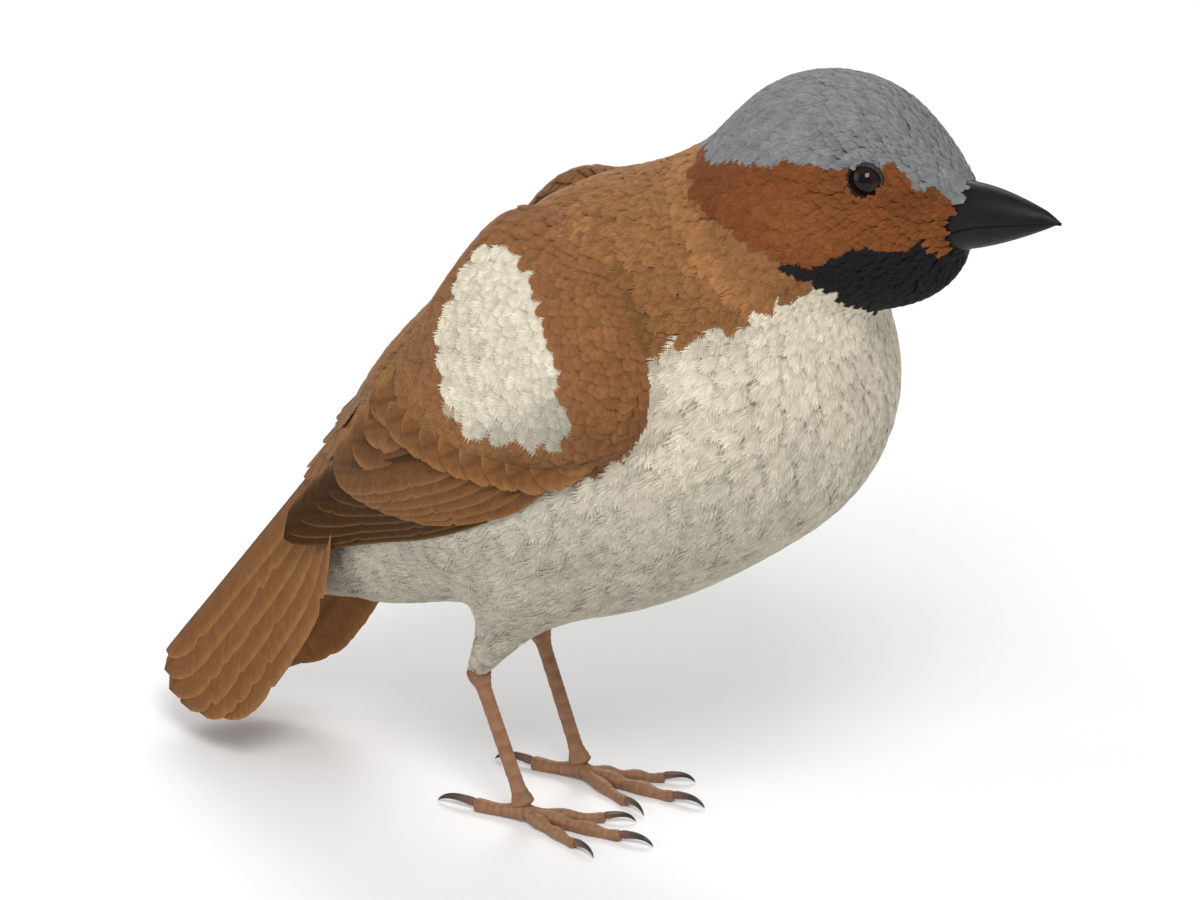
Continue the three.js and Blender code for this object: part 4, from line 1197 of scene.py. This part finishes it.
for side, word in ((1, "left"), (-1, "right")):
    sd = 100 if side > 0 else 300
    # primaries: outermost lowest and deepest, inner ones over them
    prim = Vanes(f"primaries_{word}", wing_place, side, "flight_feather", 4)
    tips = [(64.5, -1.0), (66.6, -0.2), (65.8, 0.7), (63.2, 1.5), (59.6, 2.2), (56.2, 2.9), (53.4, 3.6), (51.2, 4.2), (49.4, 4.8)]
    for k, (ts, th) in enumerate(tips):
        prim.add((13 + 0.8 * k, -5.3 + 0.78 * k), (ts, th), 6.4, FLIGHT, mix(FLIGHT, EDGE, 0.32), h0=0.6 + 0.04 * k, h1=0.05 + 0.20 * k, inner=0.30, tipness=0.80, blunt=2.2, bend=-1.2 + 0.08 * k, seed=sd + k, edge=0.12, camber=0.5)
    prim.done(replaces=(f"wing_{word}_flight",))
    # secondaries over the primaries, then the tertials
    sec = Vanes(f"secondaries_{word}", wing_place, side, "flight_feather", 4)
    for k in range(6):
        sec.add((13.5 + 1.1 * k, -5.0 + 1.4 * k), ([41.5, 44.2, 46.8, 49.0, 50.8, 52.2][k], -0.6 + 1.0 * k), 7.2, mix(VANE_BROWN, FLIGHT, 0.35), mix(VANE_BROWN, EDGE, 0.3), h0=0.9 + 0.14 * k, h1=1.0 + 0.22 * k, inner=0.36, tipness=0.84, blunt=2.8, bend=-1.3 + 0.15 * k, seed=sd + 20 + k, edge=0.16, camber=0.6)
    for k in range(4):
        sec.add((20 + 1.0 * k, 3.2 + 2.0 * k), (51.6 - 5.2 * k, 5.2 + 1.7 * k), 8.2 - 0.5 * (k > 2), mix(VANE_BROWN, FLIGHT, 0.35), mix(VANE_BROWN, EDGE, 0.6), h0=1.75 + 0.04 * k, h1=2.1 + 0.24 * k, inner=0.5, tipness=0.72, blunt=2.4, bend=-0.6, seed=sd + 40 + k, edge=0.24, camber=0.9, dark=FLIGHT_DARK)
    # scapulars close the gap behind the coverts
    for k in range(2):
        sec.add((23 - 0.8 * k, 7.4 + 2.4 * k), (42.5 - 2.0 * k, 7.6 + 2.3 * k), 6.0, mix(VANE_BROWN, FLIGHT, 0.12), mix(VANE_BROWN, EDGE, 0.5), h0=1.7, h1=2.7 + 0.15 * k, inner=0.5, tipness=0.66, blunt=2.3, seed=sd + 50 + k, edge=0.24, camber=0.9, start=0.5, nU=40, nV=9)
    sec.done()
    # greater coverts in a row across the wing
    gc = Vanes(f"greater_coverts_{word}", wing_place, side, "plumage_wing", 4)
    for k, (ts, th) in enumerate(COVERT_TIPS):
        t = k / (len(COVERT_TIPS) - 1)
        Lg = 12.0 + 3.0 * t
        gc.add((ts - Lg * 0.95, th + 1.9 - 2.6 * t), (ts, th), 5.0 + 1.4 * ramp(0, 0.2, t), mix(VANE_BROWN, FLIGHT, 0.1), mix(VANE_BROWN, EDGE, 0.55), h0=0.9 - 0.5 * t, h1=2.2 + 0.15 * k, inner=0.52, tipness=0.66, blunt=2.4, seed=sd + 60 + k, edge=0.26, camber=0.9, dark=mix(COVERT, FLIGHT_DARK, 0.35), start=0.4, nU=40, nV=9)
    gc.done()

tail = Vanes("tail_feathers", tail_place, 1, "flight_feather", 4)
for k in range(6):
    # outermost first and lowest, the central pair on top
    j = 5 - k  # 5 outermost, 0 central
    spread = [1.7, 4.6, 7.6, 10.5, 13.2, 15.4][j]
    reach = [51.6, 52.5, 52.9, 52.0, 50.1, 47.4][j]
    for s in (1, -1):
        # under=1.15: painted light on the tail feathers' undersides
        tail.add((1.0, s * (0.7 + 0.75 * j)), (reach, s * spread), 8.8, mix(TAIL_BROWN, FLIGHT_DARK, 0.18), mix(TAIL_BROWN, EDGE, 0.5), h0=-0.1 - 0.2 * j, h1=-0.15 - 0.3 * j, inner=0.42 if s > 0 else 0.58, tipness=0.82, blunt=2.6, seed=500 + 10 * j + s, edge=0.14, camber=0.5, thick=0.26, bend=s * 0.68 * j, under=1.15)
tail.done(replaces=("tail",))


def rump_height(a, b, deep):
    """Height above the tail's surface at which the rump's coat is `deep` thick."""
    lo_, hi_ = -3.0, 16.0
    for _ in range(24):
        m = (lo_ + hi_) / 2
        if trunk_outline(tail_place(np.array([a]), np.array([b]), np.array([m]), 1))[0] < -deep:
            lo_ = m
        else:
            hi_ = m
    return lo_


# upper tail coverts, in rows from the rump over the tail's base
over = Vanes("tail_coverts", tail_place, 1, "plumage_body", 5)
for row in range(3):
    a0 = (-3.0, -5.0, -6.0)[row]
    for b in ((8.0, -8.0, 5.4, -5.4, 2.7, -2.7, 0.0), (6.8, -6.8, 4.1, -4.1, 1.4, -1.4), (6.5, -6.5, 4.5, -4.5, 2.2, -2.2, 0.0))[row]:
        tone = mix(VANE_BROWN, RUMP, (0.15, 0.35, 0.5)[row])
        over.add((a0, 0.8 * b), ((17.0, 11.5, 7.0)[row] - 0.05 * b * b, b), (5.6, 5.2, 4.6)[row], tone, mix(tone, EDGE, 0.4), h0=max(rump_height(a0, 0.8 * b, 1.8), 0.3), h1=(0.9, 1.5, 2.1)[row] - 0.09 * abs(b), tipness=0.6, blunt=2.2, seed=700 + int(12 * row + b + 9), edge=0.3, camber=0.8, start=0.6, nU=34, nV=9)
over.done()


# ------------------------------------------------------------------ lofts
def rings_mesh(rings, close_ends=True):
    """Quads round a stack of rings, with fans on the ends."""
    R = np.array(rings)
    nk, n = R.shape[:2]
    V = R.reshape(-1, 3)
    I = np.arange(nk * n).reshape(nk, n)
    q = np.stack([I[:-1], I[1:], np.roll(I[1:], -1, 1), np.roll(I[:-1], -1, 1)], -1).reshape(-1, 4)
    F = [q]
    if close_ends:
        c0, c1 = len(V), len(V) + 1
        V = np.concatenate([V, R[0].mean(0)[None], R[-1].mean(0)[None]])
        a, b = I[0], np.roll(I[0], -1)
        F.append(np.stack([a, b, np.full(n, c0), np.full(n, c0)], -1))
        a, b = I[-1], np.roll(I[-1], -1)
        F.append(np.stack([b, a, np.full(n, c1), np.full(n, c1)], -1))
    return V, np.concatenate(F)


def make_mixed(name, V, F, material, col, replaces=(), uv=None, smooth=True):
    """Like make, for quads of which some are triangles with a doubled corner."""
    tri_like = F[:, 2] == F[:, 3]
    T = np.concatenate([F[~tri_like][:, [0, 1, 2]], F[~tri_like][:, [0, 2, 3]], F[tri_like][:, [0, 1, 2]]])
    # outward
    vol = np.einsum("ij,ij->i", V[T[:, 0]], np.cross(V[T[:, 1]], V[T[:, 2]])).sum()
    if vol < 0:
        T = T[:, ::-1]
    return make(name, V, T, material, col=col, uv=uv, smooth=smooth, replaces=replaces)


# --- bill
def mouth_line(x):
    t = (x - BILL_BASE[0]) / (BILL_TIP[0] - BILL_BASE[0])
    b_ = np.maximum(0, 1 - t / 0.42)
    return BILL_BASE[1] + (BILL_TIP[1] - BILL_BASE[1]) * t - 0.3 * t * t - 0.25 - 1.5 * b_ * b_


def bill_half(upper):
    rings = []
    nt, na = 54, 25
    for i in range(nt):
        k = i / (nt - 1)
        t = -0.26 + 1.26 * k**0.92
        if not upper:
            t = min(t, 1.0) * 0.972 if t > 0 else t
        tt = max(t, 0.0)
        fat = max((1 - tt) ** 0.72 * (1 + 0.16 * math.sin(math.pi * tt)), 0.028)
        fat *= 1 - 1.1 * max(-t, 0)
        x = BILL_BASE[0] + (BILL_TIP[0] - BILL_BASE[0]) * t
        tip_drop = 0.35 * max(t - 0.86, 0) / 0.14 if upper else 0.0
        zc = BILL_BASE[1] + (BILL_TIP[1] - BILL_BASE[1]) * t - 0.35 * tt * tt
        cut = float(mouth_line(BILL_BASE[0] + (BILL_TIP[0] - BILL_BASE[0]) * tt)) + (BILL_TIP[1] - BILL_BASE[1]) * min(t, 0) - 0.4 * max(-t, 0)
        half_w = BILL_WIDTH / 2 * fat
        ring = []
        for q in range(na):
            f = math.pi * q / (na - 1)
            up = math.sin(f)
            if upper:
                # a keeled culmen
                top = zc + BILL_DEPTH / 2 * fat - cut
                z = cut + 0.03 + max(top, 0.04) * (up**0.92) - tip_drop
                y = math.cos(f) * (1 - 0.20 * up * up) * half_w
            else:
                low = cut - (zc - BILL_DEPTH / 2 * fat * 0.95)
                z = cut - 0.03 - max(low, 0.03) * up
                y = math.cos(f) * (1 - 0.10 * up * up) * half_w * 0.95
            ring.append((x, y, z))
        ya, yb = ring[-1][1], ring[0][1]
        za, zb = ring[-1][2], ring[0][2]
        for q in range(1, 8):
            s = q / 8
            ring.append((x, ya + (yb - ya) * s, za + (zb - za) * s))
        rings.append(ring)
    V, F = rings_mesh(rings)
    # nostril: a shallow slot beside the culmen's base
    if upper:
        for sgn in (1, -1):
            c = np.array([BILL_BASE[0] + 2.3, sgn * 2.1, BILL_BASE[1] + 2.3])
            d = V - c
            w = np.exp(-((d[:, 0] / 0.75) ** 2 + (d[:, 1] / 0.9) ** 2 + (d[:, 2] / 0.42) ** 2))
            V[:, 1] -= sgn * 0.35 * w
    c = np.tile(srgb("131114"), (len(V), 1))
    t = (V[:, 0] - BILL_BASE[0]) / (BILL_TIP[0] - BILL_BASE[0])
    c = mix(c, srgb("1b191b"), np.clip(0.6 * ramp(0.5, 0.0, t) + (0.0 if upper else 0.25), 0, 1))
    return V, F, c


for upper, node in ((True, "bill_upper"), (False, "bill_lower")):
    V, F, c = bill_half(upper)
    make_mixed(f"{node}_horn", V, F, MAT_BILL, c, (node,))

# --- eyes and lids
for side, word in ((1, "left"), (-1, "right")):
    C, out = eye_axis(side)
    e1 = np.cross(out, [0, 0, 1.0])
    e1 /= np.linalg.norm(e1)
    e2 = np.cross(e1, out)
    rings, cols = [], []
    nt, na = 36, 48
    for i in range(nt + 1):
        th = math.pi * (i + 0.02) / (nt + 0.04)
        # a cornea that bulges a little
        rr = EYE_R * (1 + 0.05 * math.exp(-((th / 0.62) ** 2)))
        for_ring = []
        for k in range(na):
            ph = 2 * math.pi * k / na
            dvec = out * math.cos(th) + (e1 * math.cos(ph) + e2 * math.sin(ph)) * math.sin(th)
            for_ring.append(C + dvec * rr)
            deg = math.degrees(th)
            iris = srgb("1f0e06")
            pupil = srgb("020202")
            if deg < 27:
                c = pupil
            elif deg < 46:
                c = iris * (1.15 + 0.25 * math.sin(ph * 24))
            else:
                c = pupil
            cols.append(c)
        rings.append(for_ring)
    V, F = rings_mesh(rings)
    cols = np.concatenate([np.array(cols), np.tile(srgb("020202"), (2, 1))])
    make_mixed(f"eyeball_{word}", V, F, MAT_EYE, cols, (f"eye_{word}",))
    # lids: two soft rolls round the opening, with fine beads
    rings, cols = [], []
    na, nb = 72, 12
    for k in range(na):
        ph = 2 * math.pi * k / na
        # slightly pointed at front and rear
        open_ = math.radians(52) * (1 + 0.08 * abs(math.cos(ph)) ** 2)
        radial = e1 * math.cos(ph) + e2 * math.sin(ph)
        base = C + (out * math.cos(open_) + radial * math.sin(open_)) * (EYE_R * 1.02)
        outward = out * math.cos(open_) + radial * math.sin(open_)
        tang = -out * math.sin(open_) + radial * math.cos(open_)
        bead = 0.05 * math.cos(ph * 18)
        ring = []
        for j in range(nb):
            q = 2 * math.pi * j / nb
            ra, rb = 0.30 + bead * 0.5, 0.20 + bead * 0.8
            ring.append(base + tang * (0.24 + math.cos(q) * ra) + outward * (0.02 + math.sin(q) * rb))
            cols.append(srgb("1b1613") * (1 + 0.2 * math.cos(ph * 18)))
        rings.append(ring)
    R = np.array(rings)
    V = R.reshape(-1, 3)
    I = np.arange(na * nb).reshape(na, nb)
    J = np.roll(I, -1, 0)
    F = np.stack([I, J, np.roll(J, -1, 1), np.roll(I, -1, 1)], -1).reshape(-1, 4)
    T = np.concatenate([F[:, [0, 1, 2]], F[:, [0, 2, 3]]])
    cen = V - C
    tn = np.cross(V[T[:, 1]] - V[T[:, 0]], V[T[:, 2]] - V[T[:, 0]])
    # outward where the roll faces away from its own centre line
    rc = R.mean(1)[np.repeat(np.arange(na), nb)].reshape(-1, 3)
    if (np.einsum("ij,ij->i", tn, V[T[:, 0]] - rc[T[:, 0]])).sum() < 0:
        T = T[:, ::-1]
    make(f"eyelid_{word}", V, T, MAT_LID, col=np.array(cols), smooth=True)

# --- legs
LEG = srgb("8f684b")
LEG_DARK = srgb("624229")


def limb_rings(path, ra, rb, sides, shape=None):
    """Rings across a path: ra in the vertical plane of the path, rb across it."""
    path = np.asarray(path, float)
    T = np.gradient(path, axis=0)
    T /= np.linalg.norm(T, axis=1, keepdims=True)
    rings = []
    ra, rb = np.array(ra, float), np.array(rb, float)
    cap = np.array([0.25, 0.62, 0.84, 0.95])
    for r in (ra, rb):
        r[:4] *= cap
        r[-4:] *= cap[::-1]
    for i, (p, t) in enumerate(zip(path, T)):
        across = np.array([-t[1], t[0], 0])
        if np.linalg.norm(across) < 0.15:
            across = np.array([0, 1.0, 0])
        across /= np.linalg.norm(across)
        u = np.cross(t, across)
        ring = []
        for k in range(sides):
            f = 2 * math.pi * k / sides
            s = 1.0 if shape is None else shape(i, f)
            ring.append(p + across * math.cos(f) * rb[i] * s + u * math.sin(f) * ra[i] * s)
        rings.append(ring)
    return rings


def scute(t, count, sharp=0.16):
    """Overlapping plates: a slow swell that drops at each plate's edge."""
    ph = (t * count) % 1.0
    return (ph if ph < 1 - sharp else (1 - ph) / sharp * (1 - sharp)) - 0.42


for side, word in ((1, "left"), (-1, "right")):
    heel = np.array([HEEL[0], side * HEEL_Y, HEEL[1]])
    foot = np.array([FOOT_X, side * FOOT_Y, FOOT_Z])
    n = 110
    ts = np.linspace(-0.10, 1.0, n)
    start = heel + (np.array([THIGH_TOP[0], side * THIGH_TOP[1], THIGH_TOP[2]]) - heel) * 0.09
    path = []
    for t in ts:
        if t < 0:
            path.append(heel + (start - heel) * (-t / 0.10))
        else:
            path.append(heel + (foot - heel) * t)
    path = np.array(path)
    for _ in range(14):
        path[1:-1] = (path[:-2] + 2 * path[1:-1] + path[2:]) / 4
    knob = 0.62 * np.exp(-(((ts - 0.03) / 0.075) ** 2))
    fknob = 0.55 * np.exp(-(((ts - 0.965) / 0.07) ** 2))
    ra = 0.98 + knob + fknob
    rb = 0.74 + knob * 0.8 + fknob * 0.95

    def leg_shape(i, f, ts=ts):
        # front plates: u points forwards and up on this path
        front = max(math.sin(f) * -1, 0) ** 0.6
        back = max(math.sin(f), 0) ** 1.5
        s = 1 + 0.085 * scute(ts[i], 9) * front + 0.025 * math.cos(ts[i] * 150) * back
        # pinched sides
        return s * (1 - 0.05 * abs(math.cos(f)))

    rings = limb_rings(path, ra, rb, 22, leg_shape)
    V, F = rings_mesh(rings)
    c = np.tile(LEG, (len(V), 1))
    tt = np.concatenate([np.repeat(ts, 22), [0, 1]])
    groove = np.array([scute(t, 9) for t in tt])
    c = mix(c, LEG_DARK, np.clip(0.25 + 0.8 * -groove, 0, 0.75) * 0.6)
    c = mix(c, LEG_DARK, 0.35 * np.exp(-(((tt - 0.03) / 0.06) ** 2)))
    make_mixed(f"tarsus_{word}_scaled", V, F, MAT_LEG, c, (f"tarsus_{word}",))

    toes = {"inner": (-27, 9.8, 0.85, 3.6), "middle": (-2, 13.2, 0.95, 4.2), "outer": (24, 10.2, 0.85, 3.6), "hind": (180, 6.8, 1.05, 5.2)}
    for tn_, (yaw, tl, tr, cl) in toes.items():
        a = math.radians(side * yaw)
        dirv = np.array([math.cos(a), math.sin(a), 0])
        n = 72
        t = np.linspace(0, 1, n)
        joints = {"inner": 2, "middle": 3, "outer": 3, "hind": 1}[tn_]
        pad = 1 + 0.16 * np.cos(t * math.pi * 2 * joints) * (1 - 0.25 * t)
        r_ = tr * pad * (1 - 0.24 * t)
        s = -0.55 + (tl + 0.25 + 0.55) * t
        zc = FOOT_Z * 0.72 * (1 - t) ** 2.2 + r_ * 0.80 * (1 - (1 - t) ** 2.2) + 0.10 * (1 - t)
        path = np.array([FOOT_X, side * FOOT_Y, 0]) + dirv * s[:, None]
        path[:, 2] = zc

        def toe_shape(i, f, t=t, tl=tl, joints=joints):
            up = max(-math.sin(f), 0) ** 0.7
            down = max(math.sin(f), 0)
            return 1 + 0.10 * scute(t[i], int(tl * 1.15)) * up + 0.02 * math.cos(t[i] * 90) * down

        rings = limb_rings(path, r_, r_ * 1.0, 18, toe_shape)
        V, F = rings_mesh(rings)
        top_up = V[:, 2].copy()
        V[:, 2] = np.maximum(V[:, 2], 0.0)
        c = np.tile(LEG, (len(V), 1))
        tt = np.concatenate([np.repeat(t, 18), [0, 1]])
        groove = np.array([scute(q, int(tl * 1.15)) for q in tt])
        c = mix(c, LEG_DARK, np.clip(0.2 + 0.8 * -groove, 0, 0.75) * 0.6)
        c = mix(c, srgb("b08a6c"), np.clip((0.6 - V[:, 2]) / 0.6, 0, 1) * 0.5)
        c = mix(c, LEG_DARK, 0.3 * ramp(0.85, 1.0, tt))
        make_mixed(f"toe_{tn_}_{word}_scaled", V, F, MAT_LEG, c, (f"toe_{tn_}_{word}",))
        # claw
        n = 26
        t = np.linspace(0, 1, n)
        root = tr * 0.62
        s = tl - 0.35 + (cl + 0.65) * np.sin(t * 1.25) / math.sin(1.25)
        path = np.array([FOOT_X, side * FOOT_Y, 0]) + dirv * s[:, None]
        rr = root * (1 - t) ** 0.8 + 0.05
        path[:, 2] = root + 0.3 + 0.6 * np.sin(t * math.pi * 0.8) - (root + 0.46) * t * t - 0.08 * t
        rings = limb_rings(path, rr * 1.1, rr * 0.8, 14, lambda i, f: 1 - 0.18 * max(math.sin(f), 0))
        V, F = rings_mesh(rings)
        V[:, 2] = np.maximum(V[:, 2], 0.0)
        tt = np.concatenate([np.repeat(t, 14), [0, 1]])
        c = mix(np.tile(srgb("6b4b3c"), (len(V), 1)), srgb("2a201c"), ramp(0.0, 0.6, tt))
        make_mixed(f"claw_{tn_}_{word}_horn", V, F, MAT_CLAW, c, (f"claw_{tn_}_{word}",))

# ------------------------------------------------------------------ floor and light
fm = Nodes("floor")
fm.link(fm.remap(fm.noise(6, 2), 0.3, 0.7, 0.86, 0.90), fm.bsdf.inputs["Base Color"])
fm.set(Roughness=0.9)
fm.bsdf.inputs["Specular IOR Level"].default_value = 0.1
me = bpy.data.meshes.new("floor")
me.from_pydata([(-4, -4, 0), (4, -4, 0), (4, 4, 0), (-4, 4, 0)], [], [(0, 1, 2, 3)])
floor = bpy.data.objects.new("floor", me)
bpy.context.scene.collection.objects.link(floor)
me.materials.append(fm.mat)

world = bpy.data.worlds.new("studio")
world.use_nodes = True
bg = world.node_tree.nodes["Background"]
bg.inputs["Color"].default_value = (1.0, 1.0, 1.0, 1)
bg.inputs["Strength"].default_value = 0.52
bpy.context.scene.world = world


def area(name, loc, target, size, power):
    d = bpy.data.lights.new(name, "AREA")
    d.shape = "RECTANGLE"
    d.size, d.size_y = size
    d.energy = power
    o = bpy.data.objects.new(name, d)
    bpy.context.scene.collection.objects.link(o)
    o.location = loc
    o.rotation_euler = (Vector(loc) - Vector(target)).to_track_quat("Z", "Y").to_euler()


mid = (0.0, 0.0, 0.055)
area("key", (0.35, -0.55, 0.75), mid, (0.35, 0.35), 5.6)
area("fill", (-0.6, -0.5, 0.3), mid, (0.6, 0.5), 1.4)
area("rim", (-0.35, 0.6, 0.6), mid, (0.4, 0.3), 3.0)

bpy.context.scene.view_settings.view_transform = "Standard"
